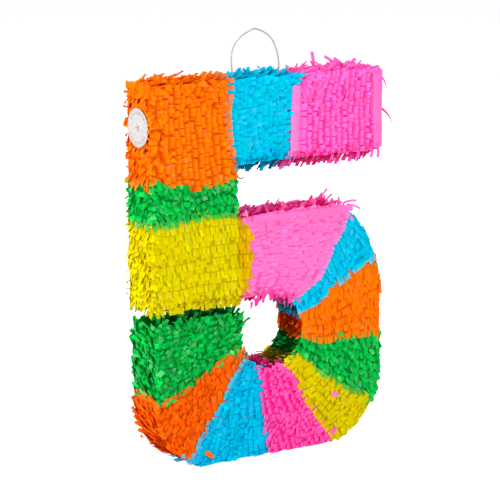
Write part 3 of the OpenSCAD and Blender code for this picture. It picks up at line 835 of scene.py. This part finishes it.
for k, z in enumerate(ZONES):
    for side in (-1, 1):
        face_zone(z[0], side, 100 + 7 * k + (side > 0) * 301)
for side in (-1, 1):
    # the pink bar's first header lies on the blue, its last one closes the right-hand end
    band("pink_bar", [(209.5, 394), (209.8, 420), (210.8, 455), (213.5, 486)], 13.5, side, 4.4, 41 + side, "blue_top", 0.2)
    band("pink_bar", [(343.0, 395), (342.5, 450), (343.0, 498)], 14.5, side, 3.7, 51 + side, "pink_bowl", 0.9)
    # the bowl's top is finished with an uncut band
    band("pink_bowl", [(152, 321.2), (230, 321.4), (310, 321.2)], 8.5, side, 3.7, 61 + side)
face_skin(-1)
face_skin(1)
for k, gname in enumerate(SEGS):
    edge_rows(gname, 900 + 13 * k)
    edge_skin(gname)
for side in (-1, 1):
    q = 50 * (side > 0)
    dabs("orange_top", side, 30, (1, 20, 345, 492), 501 + q, -50, 60)
    dabs("orange_top", side, 10, (72, 112, 440, 484), 502 + q, 25, 25, (10, 16), (3.6, 5.2))
    dabs("orange_top", side, 10, (20, 105, 476, 490), 503 + q, -20, 60, (7, 11), (4.2, 5.6))
    dabs("orange_top", side, 8, (30, 110, 352, 372), 504 + q, -60, 30, (7, 11))
    dabs("pink_bar", side, 26, (226, 318, 458, 488), 505 + q, -25, 50, (8, 14), (3.8, 5.6))
    dabs("pink_bar", side, 10, (262, 330, 410, 452), 506 + q, 25, 25, (9, 14), (4.0, 5.4))
    dabs("blue_top", side, 8, (135, 195, 400, 485), 507 + q, -60, 50, (6, 10), (4.0, 5.4), (2.8, 4.2))
    dabs("green_stem", side, 16, (2, 118, 335, 352), 508 + q, -90, 45, (8, 12), (5.0, 6.8))
    dabs("green_end", side, 20, (8, 112, 110, 188), 509 + q, 70, 60, (7, 11), (5.0, 6.8))
    dabs("green_right", side, 14, (236, 340, 104, 160), 510 + q, -80, 50, (7, 11), (5.0, 6.6))
    dabs("yellow_stem", side, 8, (2, 18, 225, 310), 511 + q, -70, 45, (8, 12), (5.2, 6.6), (2.8, 4.4))
    dabs("orange_end", side, 18, (30, 95, 22, 95), 512 + q, 215, 45, (9, 14), (4.4, 6.0))
    dabs("pink_lower", side, 12, (165, 250, 12, 95), 513 + q, 180, 45, (8, 12), (4.4, 5.8))
    dabs("blue_lower", side, 10, (105, 150, 12, 90), 514 + q, 200, 45, (7, 11), (4.6, 6.0))
    # tips that hang over the top of the round opening, with painted shade of random strength
    rngh = np.random.default_rng(520 + q)
    for x in (150, 156, 161, 167, 172, 178, 183, 189, 195, 201, 207, 212):
        zr = 167 + math.sqrt(max(49.0 ** 2 - (x - 182.0) ** 2, 0))
        slip("pink_bowl", (x, side * 28.5, zr + 5), (x + rngh.uniform(-1, 6), side * rngh.uniform(22, 30), zr - rngh.uniform(4, 10)),
             rngh.uniform(4.2, 5.8), (0, side * 1.0, 0), face=(0, side, 0), turn=rngh.normal(0, 20), dark=rngh.uniform(0.45, 1.0))
    # strands on the lower lip of the opening, with painted shade of random strength
    for x in (168, 173, 177, 182, 186, 190, 194, 198, 203):
        zr = 167 - math.sqrt(49.0 ** 2 - (x - 182.0) ** 2)
        slip("pink_lower", (x + 3, side * rngh.uniform(12, 24), zr - 1), (x + rngh.uniform(-8, 0), side * rngh.uniform(25, 29.5), zr + rngh.uniform(1, 7)),
             rngh.uniform(2.8, 4.4), (0, 0, 2.0), face=(0.3, side * 0.5, 1), turn=rngh.normal(0, 25), dark=rngh.uniform(0.0, 0.7))
    # short ends that stick out of the left-hand corner, with painted shade near the root and of random strength over
    # the finger
    for z in np.arange(222, 494, 6.5):
        zz_ = z + rngh.uniform(-2.5, 2.5)
        zi = int(zone_at(np.array([6.0, zz_])))
        if zi < 0 or rngh.random() < 0.2:
            continue
        slip(ZONES[zi][0], (2.0, side * 25.5, zz_), (rngh.uniform(-4.6, -1.0), side * rngh.uniform(27, 31.5), zz_ + rngh.uniform(-8, 3)),
             rngh.uniform(3.6, 5.6), (-0.6, side * 0.6, 0), face=(-1, side * 0.7, 0), turn=rngh.normal(0, 25), dark=max(0.0, rngh.normal(0.1, 0.2)), root=0.5)
# loose ends that stand off the body; the ones with a dark share and the two green ones with a low tint are painted in
# shade
slip("pink_bar", (284, 24, 499), (283.6, 28, 520.5), 5.2, (0.6, 0, 0), tint=1.0)
slip("pink_bar", (322, 27, 500), (306, 31, 512.5), 4.2, (0, 0, 1.2))
slip("pink_bar", (331, 24, 500), (318, 27, 509.5), 4.4, (0, 0, 1.0), tint=0.95)
slip("pink_bar", (340, 20, 500), (350, 22, 507.5), 4.0, (0, 0, 0.6), tint=0.95)
slip("pink_bar", (356.5, -28, 488), (362.5, -31, 472.0), 2.4, (1.5, 0, 1), tint=0.9, turn=40, dark=0.6)
slip("pink_bar", (357.0, -27, 446), (373.5, -31, 425.5), 3.2, (1.5, 0, 1.5), tint=0.85, turn=50, dark=0.8)
slip("pink_bar", (300, -28, 478), (292.5, -31.0, 461), 2.2, (0.5, -0.8, 0), tint=0.8, dark=1.0)
slip("pink_bar", (322, -27, 394), (317.5, -29, 383), 4.6, (-0.5, -0.8, 0), tint=1.0)
slip("pink_bar", (344, -26, 395), (340, -29, 381.5), 4.6, (-0.4, -0.8, 0), tint=1.0)
slip("pink_bar", (352, -27, 394), (350.5, -29.5, 381), 4.8, (0.3, -0.8, 0), tint=1.0)
slip("pink_bar", (281, -24, 394), (276, -28, 384), 4.2, (0, -0.8, 0), tint=0.95)
slip("pink_bowl", (296, 27, 320), (313, 33, 334), 3.2, (0.5, 0, 1.5), dark=0.2)
slip("pink_bowl", (302, 25, 316), (320, 31, 326), 3.0, (0.5, 0, 1.5), dark=0.5)
slip("pink_bowl", (290, 24, 321), (303, 31, 330), 3.0, (0.5, 0, 1.0), dark=0.1)
slip("pink_bowl", (304, -14, 321), (323, -20, 324), 3.2, (0, 0, 1.6), tint=0.92)
slip("pink_bowl", (308, -18, 320), (328, -22, 313), 2.8, (0, 0, 1.5), tint=0.9)
slip("green_end", (139, -24, 178), (147.5, -29, 188.5), 3.4, (-1.0, 0, 2.0), tint=0.6)
slip("green_stem", (128, -26, 379), (138, -29, 374), 1.8, (0, 0, -4.0), tint=0.45)
for i, (x, y, dx, dy, up_) in enumerate([(150, -18, 9, 16, 4), (168, 4, 12, -14, 5), (182, -20, 6, 18, 7), (196, 10, 14, -10, 4), (207, -16, 9, 14, 8),
                                         (221, 12, 10, -16, 6), (233, -20, 13, 12, 5), (246, 8, 9, -18, 8), (258, -14, 12, 14, 6), (270, 14, 9, -12, 9),
                                         (281, -18, 14, 13, 5), (293, 6, 11, -14, 7)]):
    slip("pink_bowl", (x, y, 320.5), (x + dx, y + dy, 322 + up_), 4.4, (0, 0, 1.6), face=(0.2, -0.3, 1), tint=1.0, turn=25 if i % 2 else -20)
# crumpled ends and reddish strands over the left-hand top corner; their darker, reddish tone is painted shade of random
# strength, with more near the roots of the crumpled ends
rngt = np.random.default_rng(777)
for i in range(22):
    x, y = rngt.uniform(0, 34), rngt.uniform(-27, 26)
    a = math.radians(rngt.normal(20, 70))
    l = rngt.uniform(8, 13)
    slip("orange_top", (x, y, 499.5 + rngt.uniform(0, 1.5)), (max(x + l * math.cos(a), -1.5), float(np.clip(y + l * math.sin(a), -31, 31)), 501.5 + rngt.uniform(0.5, 4.5)),
         rngt.uniform(4.6, 6.6), (0, 0, rngt.uniform(0.3, 1.2)), face=(-0.3, -0.2, 1), turn=rngt.normal(0, 18), dark=max(0.0, rngt.normal(0.05, 0.15)), root=0.5)
for i in range(16):
    y = -25.0 + 3.4 * i + rngt.uniform(-1, 1)
    slip("orange_top", (rngt.uniform(-0.5, 1.0), y, 491 + rngt.uniform(-2, 2)), (rngt.uniform(-0.8, 2.5), y + rngt.uniform(-3, 3), 501.0 + rngt.uniform(-1, 3.0)),
         rngt.uniform(4.4, 6.2), (-1.0, 0, 0.5), face=(-1, 0, 0.3), turn=rngt.normal(0, 18), dark=max(0.0, rngt.normal(0.08, 0.15)))
for i in range(26):
    x, y = rngt.uniform(18, 108), rngt.uniform(-27, 22)
    slip("orange_top", (x, y, 502.5 + rngt.uniform(-1, 1)), (x + rngt.uniform(9, 19), float(np.clip(y + rngt.normal(0, 7), -31, 31)), 505 + rngt.uniform(0, 4)),
         rngt.uniform(1.6, 3.0), (0, 0, rngt.uniform(-0.5, 1.0)), face=(0, -0.4, 1), turn=rngt.normal(0, 25), dark=rngt.uniform(0.2, 1.0))
# thin strands over the blue and pink tops, with painted shade of random strength
for i in range(14):
    x, y = rngt.uniform(128, 200), rngt.uniform(-27, 24)
    slip("blue_top", (x, y, 502 + rngt.uniform(-1, 1)), (x + rngt.uniform(-4, 12), float(np.clip(y + rngt.normal(0, 8), -31, 31)), 504 + rngt.uniform(0, 4.5)),
         rngt.uniform(1.8, 3.4), (0, 0, rngt.uniform(-0.5, 1.0)), face=(0, -0.4, 1), turn=rngt.normal(0, 25), dark=rngt.uniform(0.2, 1.0))
for i in range(20):
    x, y = rngt.uniform(215, 340), rngt.uniform(-27, 24)
    slip("pink_bar", (x, y, 502 + rngt.uniform(-1, 1)), (x + rngt.uniform(-12, 12), float(np.clip(y + rngt.normal(0, 9), -31, 31)), 504.5 + rngt.uniform(0, 5.0)),
         rngt.uniform(2.2, 4.2), (0, 0, rngt.uniform(-0.5, 1.0)), face=(0, -0.4, 1), turn=rngt.normal(0, 25), dark=rngt.uniform(0.0, 0.7))
# scraps that stuck in the wrong colour
slip("pink_bowl", (276, -30.2, 67), (287, -30.4, 66), 6.0, (0, -0.6, 0), turn=8)
slip("pink_lower", (277, -30.2, 12), (284, -30.4, 21), 5.5, (0, -0.5, 0))
slip("orange_end", (77, -30.4, 20), (88, -30.6, 11), 6.0, (1.5, -0.7, -1.0))
slip("blue_lower", (112, -29.2, 7), (117, -29.8, 0.8), 7.0, (0, -0.5, 0))
slip("blue_lower", (121, -29.2, 7), (124, -30.2, 0.8), 7.0, (0, -0.5, 0), tint=0.95)
edge_rows("left", 1999, target="flap")
edge_skin("left", target="flap")


# ------------------------------------------------------------------ materials
def nodes_of(name):
    m = bpy.data.materials.new(name)
    m.use_nodes = True
    nt = m.node_tree
    nt.nodes.clear()
    return m, nt, nt.nodes.new


def tissue_material(name, tone, wrinkle=1.0):
    m, nt, new = nodes_of(name)
    out = new("ShaderNodeOutputMaterial")
    mix = new("ShaderNodeMixShader")
    mix.inputs[0].default_value = 0.22
    p = new("ShaderNodeBsdfPrincipled")
    tr = new("ShaderNodeBsdfTranslucent")
    att = new("ShaderNodeVertexColor")
    att.layer_name = "tint"
    tc = new("ShaderNodeTexCoord")
    fibre = new("ShaderNodeTexNoise")
    fibre.inputs["Scale"].default_value = 900
    fibre.inputs["Detail"].default_value = 3
    blot = new("ShaderNodeTexNoise")
    blot.inputs["Scale"].default_value = 55
    blot.inputs["Detail"].default_value = 2
    crease = new("ShaderNodeTexNoise")
    crease.inputs["Scale"].default_value = 240
    crease.inputs["Detail"].default_value = 4
    crease.inputs["Distortion"].default_value = 0.8
    for nz in (fibre, blot, crease):
        nt.links.new(tc.outputs["Object"], nz.inputs["Vector"])
    r1 = new("ShaderNodeMapRange")
    r1.inputs["From Min"].default_value, r1.inputs["From Max"].default_value = 0.25, 0.75
    r1.inputs["To Min"].default_value, r1.inputs["To Max"].default_value = 0.93, 1.05
    nt.links.new(fibre.outputs["Fac"], r1.inputs["Value"])
    r2 = new("ShaderNodeMapRange")
    r2.inputs["From Min"].default_value, r2.inputs["From Max"].default_value = 0.3, 0.7
    r2.inputs["To Min"].default_value, r2.inputs["To Max"].default_value = 0.94, 1.04
    nt.links.new(blot.outputs["Fac"], r2.inputs["Value"])
    mul = new("ShaderNodeMath")
    mul.operation = "MULTIPLY"
    nt.links.new(r1.outputs["Result"], mul.inputs[0])
    nt.links.new(r2.outputs["Result"], mul.inputs[1])
    mc = new("ShaderNodeVectorMath")
    mc.operation = "SCALE"
    nt.links.new(att.outputs["Color"], mc.inputs[0])
    nt.links.new(mul.outputs[0], mc.inputs["Scale"])
    nt.links.new(mc.outputs[0], p.inputs["Base Color"])
    nt.links.new(mc.outputs[0], tr.inputs["Color"])
    rr = new("ShaderNodeMapRange")
    rr.inputs["To Min"].default_value, rr.inputs["To Max"].default_value = 0.68, 0.88
    nt.links.new(crease.outputs["Fac"], rr.inputs["Value"])
    nt.links.new(rr.outputs["Result"], p.inputs["Roughness"])
    p.inputs["Specular IOR Level"].default_value = 0.0
    p.inputs["Sheen Weight"].default_value = 0.05
    p.inputs["Sheen Roughness"].default_value = 0.5
    p.inputs["Sheen Tint"].default_value = (*[float(v) for v in tone], 1)
    b1 = new("ShaderNodeBump")
    b1.inputs["Strength"].default_value = 0.35 * wrinkle
    b1.inputs["Distance"].default_value = 0.0012
    nt.links.new(crease.outputs["Fac"], b1.inputs["Height"])
    b2 = new("ShaderNodeBump")
    b2.inputs["Strength"].default_value = 0.15
    b2.inputs["Distance"].default_value = 0.0003
    nt.links.new(fibre.outputs["Fac"], b2.inputs["Height"])
    nt.links.new(b1.outputs["Normal"], b2.inputs["Normal"])
    nt.links.new(b2.outputs["Normal"], p.inputs["Normal"])
    nt.links.new(b2.outputs["Normal"], tr.inputs["Normal"])
    nt.links.new(p.outputs[0], mix.inputs[1])
    nt.links.new(tr.outputs[0], mix.inputs[2])
    nt.links.new(mix.outputs[0], out.inputs["Surface"])
    return m


def kraft_material():
    m, nt, new = nodes_of("kraft_card_board")
    out = new("ShaderNodeOutputMaterial")
    p = new("ShaderNodeBsdfPrincipled")
    tc = new("ShaderNodeTexCoord")
    flute = new("ShaderNodeTexWave")
    flute.inputs["Scale"].default_value = 55
    flute.inputs["Distortion"].default_value = 0.6
    flute.inputs["Detail"].default_value = 1
    pulp = new("ShaderNodeTexNoise")
    pulp.inputs["Scale"].default_value = 700
    pulp.inputs["Detail"].default_value = 5
    spot = new("ShaderNodeTexNoise")
    spot.inputs["Scale"].default_value = 28
    for nz in (flute, pulp, spot):
        nt.links.new(tc.outputs["Object"], nz.inputs["Vector"])
    ramp = new("ShaderNodeValToRGB")
    ramp.color_ramp.elements[0].color = (0.30, 0.185, 0.09, 1)
    ramp.color_ramp.elements[1].color = (0.56, 0.385, 0.215, 1)
    mix = new("ShaderNodeMath")
    mix.operation = "ADD"
    sc = new("ShaderNodeMath")
    sc.operation = "MULTIPLY"
    sc.inputs[1].default_value = 0.18
    nt.links.new(flute.outputs["Fac"], sc.inputs[0])
    nt.links.new(pulp.outputs["Fac"], mix.inputs[0])
    nt.links.new(sc.outputs[0], mix.inputs[1])
    nt.links.new(mix.outputs[0], ramp.inputs[0])
    nt.links.new(ramp.outputs[0], p.inputs["Base Color"])
    rr = new("ShaderNodeMapRange")
    rr.inputs["To Min"].default_value, rr.inputs["To Max"].default_value = 0.75, 0.95
    nt.links.new(spot.outputs["Fac"], rr.inputs["Value"])
    nt.links.new(rr.outputs["Result"], p.inputs["Roughness"])
    b1 = new("ShaderNodeBump")
    b1.inputs["Strength"].default_value = 0.4
    b1.inputs["Distance"].default_value = 0.0006
    nt.links.new(flute.outputs["Fac"], b1.inputs["Height"])
    b2 = new("ShaderNodeBump")
    b2.inputs["Strength"].default_value = 0.2
    b2.inputs["Distance"].default_value = 0.0002
    nt.links.new(pulp.outputs["Fac"], b2.inputs["Height"])
    nt.links.new(b1.outputs["Normal"], b2.inputs["Normal"])
    nt.links.new(b2.outputs["Normal"], p.inputs["Normal"])
    nt.links.new(p.outputs[0], out.inputs["Surface"])
    return m


def simple_material(name, dark, light, rough, scale, bump, metallic=0.0, coat=0.0):
    m, nt, new = nodes_of(name)
    out = new("ShaderNodeOutputMaterial")
    p = new("ShaderNodeBsdfPrincipled")
    tc = new("ShaderNodeTexCoord")
    n = new("ShaderNodeTexNoise")
    n.inputs["Scale"].default_value = scale
    n.inputs["Detail"].default_value = 4
    nt.links.new(tc.outputs["Object"], n.inputs["Vector"])
    ramp = new("ShaderNodeValToRGB")
    ramp.color_ramp.elements[0].position, ramp.color_ramp.elements[1].position = 0.3, 0.7
    ramp.color_ramp.elements[0].color = (*dark, 1)
    ramp.color_ramp.elements[1].color = (*light, 1)
    nt.links.new(n.outputs["Fac"], ramp.inputs[0])
    nt.links.new(ramp.outputs[0], p.inputs["Base Color"])
    rr = new("ShaderNodeMapRange")
    rr.inputs["To Min"].default_value, rr.inputs["To Max"].default_value = rough[0], rough[1]
    nt.links.new(n.outputs["Fac"], rr.inputs["Value"])
    nt.links.new(rr.outputs["Result"], p.inputs["Roughness"])
    p.inputs["Metallic"].default_value = metallic
    p.inputs["Coat Weight"].default_value = coat
    b = new("ShaderNodeBump")
    b.inputs["Strength"].default_value = bump
    b.inputs["Distance"].default_value = 0.0003
    nt.links.new(n.outputs["Fac"], b.inputs["Height"])
    nt.links.new(b.outputs["Normal"], p.inputs["Normal"])
    nt.links.new(p.outputs[0], out.inputs["Surface"])
    return m


def label_material():
    """Printed paper: rings and plain dashes only, coloured from a point colour."""
    m, nt, new = nodes_of("label_print")
    out = new("ShaderNodeOutputMaterial")
    p = new("ShaderNodeBsdfPrincipled")
    att = new("ShaderNodeVertexColor")
    att.layer_name = "print"
    tc = new("ShaderNodeTexCoord")
    n = new("ShaderNodeTexNoise")
    n.inputs["Scale"].default_value = 420
    n.inputs["Detail"].default_value = 3
    nt.links.new(tc.outputs["Object"], n.inputs["Vector"])
    r1 = new("ShaderNodeMapRange")
    r1.inputs["To Min"].default_value, r1.inputs["To Max"].default_value = 0.94, 1.04
    nt.links.new(n.outputs["Fac"], r1.inputs["Value"])
    mc = new("ShaderNodeVectorMath")
    mc.operation = "SCALE"
    nt.links.new(att.outputs["Color"], mc.inputs[0])
    nt.links.new(r1.outputs["Result"], mc.inputs["Scale"])
    nt.links.new(mc.outputs[0], p.inputs["Base Color"])
    rr = new("ShaderNodeMapRange")
    rr.inputs["To Min"].default_value, rr.inputs["To Max"].default_value = 0.45, 0.6
    nt.links.new(n.outputs["Fac"], rr.inputs["Value"])
    nt.links.new(rr.outputs["Result"], p.inputs["Roughness"])
    b = new("ShaderNodeBump")
    b.inputs["Strength"].default_value = 0.15
    b.inputs["Distance"].default_value = 0.0002
    nt.links.new(n.outputs["Fac"], b.inputs["Height"])
    nt.links.new(b.outputs["Normal"], p.inputs["Normal"])
    nt.links.new(p.outputs[0], out.inputs["Surface"])
    return m


# ------------------------------------------------------------------ meshes
def grid_uv(me, uv):
    """uv: faces x 4 x (cell, u, v). Each finger gets its own cell of the map."""
    cells = int(uv[..., 0].max()) + 1
    G = int(math.ceil(math.sqrt(cells)))
    cx, cy = uv[..., 0] % G, uv[..., 0] // G
    u = (cx + 0.09 + 0.82 * uv[..., 1]) / G
    v = (cy + 0.09 + 0.82 * uv[..., 2]) / G
    lay = me.uv_layers.new(name="OFBake")
    lay.data.foreach_set("uv", np.stack([u, v], -1).astype(np.float32).ravel())


def mesh_object(name, co, faces, col, uv, mat, layer="tint"):
    me = bpy.data.meshes.new(name)
    me.vertices.add(len(co))
    me.vertices.foreach_set("co", (co * MM).astype(np.float32).ravel())
    me.loops.add(faces.size)
    me.loops.foreach_set("vertex_index", faces.astype(np.int32).ravel())
    me.polygons.add(len(faces))
    me.polygons.foreach_set("loop_start", (np.arange(len(faces)) * 4).astype(np.int32))
    me.polygons.foreach_set("use_smooth", np.ones(len(faces), bool))
    me.update(calc_edges=True)
    ca = me.color_attributes.new(layer, "FLOAT_COLOR", "POINT")
    rgba = np.concatenate([col, np.ones((len(col), 1))], 1).astype(np.float32)
    ca.data.foreach_set("color", rgba.ravel())
    grid_uv(me, uv)
    me.validate()
    o = bpy.data.objects.new(name, me)
    scene.collection.objects.link(o)
    o.data.materials.append(mat)
    return o


TONE = {"orange": ORANGE, "blue": BLUE, "pink": PINK, "green": GREEN, "yellow": YELLOW}
tissue = {"tissue_" + k: tissue_material("tissue_paper_" + k, v) for k, v in TONE.items()}
SLOT = {"orange": "tissue_orange", "blue": "tissue_blue", "pink": "tissue_pink", "green": "tissue_green", "yellow": "tissue_yellow"}


def slot_of(key):
    if key == "flap":
        return "tissue_orange"
    return next(s for c, s in SLOT.items() if c in key)


NODE = {"flap": "flap_fringe", "bottom_blue": "bottom_fringe_blue", "bottom_pink": "bottom_fringe_pink"}
for key, pile in piles.items():
    co, col = np.concatenate(pile.co), np.concatenate(pile.col)
    faces, uv = np.concatenate(pile.faces), np.concatenate(pile.uv)
    o = mesh_object("tissue_" + key, co, faces, col, uv, tissue[slot_of(key)])
    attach(o, "flap" if key == "flap" else "body")
    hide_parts(NODE.get(key, "fringe_" + key))
    print("piece", o.name, len(faces), "quads")

# ------------------------------------------------------------------ round label
rings, spokes = 40, 160
rad = np.concatenate([[0.0], np.linspace(0.6, LABEL_R, rings)])
th = np.linspace(0, 2 * math.pi, spokes, endpoint=False)
R, T = np.meshgrid(rad[1:], th, indexing="ij")
yy, zz = R * np.cos(T), R * np.sin(T)
wav = 0.35 * np.sin(yy / 7.0 + 0.6) * np.cos(zz / 9.0) + 0.25 * np.sin((yy + zz) / 4.5)
lx = -(0.55 + wav * 0.6 * (R / LABEL_R) + 0.12 * (R / LABEL_R) ** 6)
lco = np.stack([XL + lx, yy, LABEL_Z + zz], -1).reshape(-1, 3)
lco = np.concatenate([[[XL - 0.55, 0, LABEL_Z]], lco])
ink = np.zeros(R.shape)
deg = np.degrees(T) % 360
ink[(R > 22.6) & (R < 23.3)] = 0.5
dash = (np.floor(deg / 7.5) % 2 == 0) & ((deg > 25) & (deg < 155) | (deg > 205) & (deg < 335))
ink[(R > 17.2) & (R < 20.6) & dash & (np.floor(deg / 2.2) % 3 < 2)] = 0.75
ink[(R > 12.0) & (R < 12.6) & (np.floor(deg / 9) % 2 == 0)] = 0.55
ink[(R < 5.5) & (np.cos(np.radians(deg * 5)) > R / 7.5)] = 0.8
pc = np.concatenate([[0.8], ink.ravel()])
lcol = np.stack([0.475 - 0.385 * pc, 0.445 - 0.355 * pc, 0.44 - 0.34 * pc], 1)
faces = []
for i in range(rings - 1):
    a = 1 + i * spokes + np.arange(spokes)
    b = 1 + i * spokes + (np.arange(spokes) + 1) % spokes
    faces.append(np.stack([a, b, b + spokes, a + spokes], 1)[:, ::-1])
lf = np.concatenate(faces)
me = bpy.data.meshes.new("label_disc")
verts = [tuple(v * MM) for v in lco]
polys = [tuple(int(i) for i in f) for f in lf]
inner = [1 + int(i) for i in range(spokes)]
polys += [(0, inner[(i + 1) % spokes], inner[i])[::-1][::-1] for i in range(spokes)]
me.from_pydata(verts, [], polys)
ca = me.color_attributes.new("print", "FLOAT_COLOR", "POINT")
ca.data.foreach_set("color", np.concatenate([lcol, np.ones((len(lcol), 1))], 1).astype(np.float32).ravel())
lay = me.uv_layers.new(name="OFBake")
vi = np.zeros(len(me.loops), np.int32)
me.loops.foreach_get("vertex_index", vi)
lay.data.foreach_set("uv", np.stack([0.5 + lco[vi, 1] / 52, 0.5 + (lco[vi, 2] - LABEL_Z) / 52], 1).astype(np.float32).ravel())
me.polygons.foreach_set("use_smooth", np.ones(len(me.polygons), bool))
label = bpy.data.objects.new("printed_label", me)
scene.collection.objects.link(label)
label.data.materials.append(label_material())
sol = label.modifiers.new("paper", "SOLIDIFY")
sol.thickness = 0.0003
sol.offset = -1
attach(label, "flap")
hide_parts("round_label")

# ------------------------------------------------------------------ wire loop: one bent wire, a soft kink at the crown
wp = [(-54.6, 488.5), (-47, 488.5), (-41.6, 488.7), (-39.3, 491.5), (-39.0, 498), (-39.2, 508), (-40.4, 519), (-40.0, 529), (-36.6, 539),
      (-30.6, 546.6), (-22.0, 552.6), (-12.5, 557.0), (-6.0, 559.0), (-3.2, 559.1), (3.5, 556.9), (12.5, 552.8), (18.8, 548.0),
      (24.8, 540.8), (29.2, 531.5), (31.8, 521), (33.2, 510), (31.2, 498), (31.3, 491.5), (33.6, 488.7), (39, 488.5), (46.6, 488.5)]
cu = bpy.data.curves.new("wire_loop", "CURVE")
cu.dimensions = "3D"
cu.bevel_depth = 0.001
cu.bevel_resolution = 4
cu.resolution_u = 8
sp = cu.splines.new("NURBS")
sp.points.add(len(wp) - 1)
for pt, (x, z) in zip(sp.points, wp):
    pt.co = (x * MM, 0, z * MM, 1)
sp.order_u = 3
sp.use_endpoint_u = True
cu.use_fill_caps = True
wire_c = bpy.data.objects.new("wire_curve", cu)
scene.collection.objects.link(wire_c)
dg = bpy.context.evaluated_depsgraph_get()
wm = bpy.data.meshes.new_from_object(wire_c.evaluated_get(dg))
bpy.data.objects.remove(wire_c)
wire = bpy.data.objects.new("wire_loop", wm)
scene.collection.objects.link(wire)
wm.materials.clear()
# painted shade: the white-coated wire gets a mid-grey base, the tone of its shaded side
wm.materials.append(simple_material("white_wire_painted_shade", (0.25, 0.25, 0.245), (0.36, 0.36, 0.35), (0.35, 0.5), 160, 0.1, 0.0, 0.15))
wm.polygons.foreach_set("use_smooth", np.ones(len(wm.polygons), bool))
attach(wire, "hanger")
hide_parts("hanging_wire")

# ------------------------------------------------------------------ card nodes keep their shape and get their own finish
kraft = kraft_material()
tape = simple_material("paper_tape_tan", (0.52, 0.40, 0.24), (0.70, 0.57, 0.38), (0.6, 0.8), 300, 0.25)
for name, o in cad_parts.items():
    mat = tape if "anchor" in name else kraft
    o.data.materials.clear()
    o.data.materials.append(mat)

# ------------------------------------------------------------------ floor, light, camera
bpy.ops.mesh.primitive_circle_add(vertices=128, radius=14, fill_type="NGON", location=(0, 0, -0.0002))
floor = bpy.context.object
floor.name = "studio_floor"
fm, nt, new = nodes_of("floor_white")
o_ = new("ShaderNodeOutputMaterial")
ad = new("ShaderNodeAddShader")
df = new("ShaderNodeBsdfDiffuse")
df.inputs["Color"].default_value = (0.35, 0.35, 0.35, 1)
em = new("ShaderNodeEmission")
em.inputs["Color"].default_value = (1, 1, 1, 1)
em_lp = new("ShaderNodeLightPath")
em_s = new("ShaderNodeMath")
em_s.operation = "MULTIPLY_ADD"
em_s.inputs[1].default_value, em_s.inputs[2].default_value = 0.36, 0.52
nt.links.new(em_lp.outputs["Is Camera Ray"], em_s.inputs[0])
nt.links.new(em_s.outputs[0], em.inputs["Strength"])
nt.links.new(df.outputs[0], ad.inputs[0])
nt.links.new(em.outputs[0], ad.inputs[1])
nt.links.new(ad.outputs[0], o_.inputs["Surface"])
floor.data.materials.append(fm)
floor.visible_glossy = False
floor.visible_transmission = False

world = bpy.data.worlds.new("studio")
scene.world = world
world.use_nodes = True
wn = world.node_tree
wn.nodes.clear()
wo = wn.nodes.new("ShaderNodeOutputWorld")
bgm = wn.nodes.new("ShaderNodeMixShader")
b1 = wn.nodes.new("ShaderNodeBackground")
b2 = wn.nodes.new("ShaderNodeBackground")
lp = wn.nodes.new("ShaderNodeLightPath")
b1.inputs["Color"].default_value = (1, 1, 1, 1)
b1.inputs["Strength"].default_value = 0.31
b2.inputs["Color"].default_value = (1, 1, 1, 1)
b2.inputs["Strength"].default_value = 1.0
wn.links.new(lp.outputs["Is Camera Ray"], bgm.inputs[0])
wn.links.new(b1.outputs[0], bgm.inputs[1])
wn.links.new(b2.outputs[0], bgm.inputs[2])
wn.links.new(bgm.outputs[0], wo.inputs["Surface"])


def area(name, loc, target, size, power):
    l = bpy.data.lights.new(name, "AREA")
    l.shape = "RECTANGLE"
    l.size, l.size_y = size
    l.energy = power
    ob = bpy.data.objects.new(name, l)
    scene.collection.objects.link(ob)
    ob.location = loc
    ob.rotation_mode = "QUATERNION"
    ob.rotation_quaternion = (Vector(target) - Vector(loc)).to_track_quat("-Z", "Y")
    return ob


MID = Vector((0, 0, 0.25))


def lamp(name, az, el, dist, size, level):
    """An area lamp at an azimuth from the front (negative to the left). level is its share on a face turned to it."""
    a, e = math.radians(az), math.radians(el)
    loc = MID + dist * Vector((math.sin(a) * math.cos(e), -math.cos(a) * math.cos(e), math.sin(e)))
    return area(name, loc, MID, size, level * math.pi ** 2 * dist * dist)


lamp("key_front", -8, 10, 3.4, (0.8, 0.8), 0.52)
lamp("fill_high", -22, 36, 3.4, (1.2, 1.0), 0.26)
lamp("side_left", -82, 10, 3.0, (0.9, 1.1), 1.05)
lamp("side_right", 96, 10, 3.0, (0.9, 1.1), 0.55)
lamp("overhead", 0, 86, 3.0, (1.0, 1.0), 0.34)
lamp("back", 170, 16, 3.4, (1.1, 1.1), 0.80)

cam_d = bpy.data.cameras.new("camera")
cam = bpy.data.objects.new("camera", cam_d)
scene.collection.objects.link(cam)
scene.camera = cam
cam_d.sensor_width = 36
cam_d.lens = 161.64
cam_d.clip_start, cam_d.clip_end = 0.1, 60
d = Vector((0.53985, 0.81902, -0.19434)).normalized()
r = d.cross(Vector((0, 0, 1))).normalized()
u = r.cross(d)
roll = math.radians(-0.18)
r2 = r * math.cos(roll) + u * math.sin(roll)
u2 = -r * math.sin(roll) + u * math.cos(roll)
mw = Matrix((r2, u2, -d)).transposed().to_4x4()
mw.translation = Vector((-1.5917, -2.3959, 0.8396))
cam.matrix_world = mw

scene.view_settings.view_transform = "Standard"
scene.view_settings.look = "None"
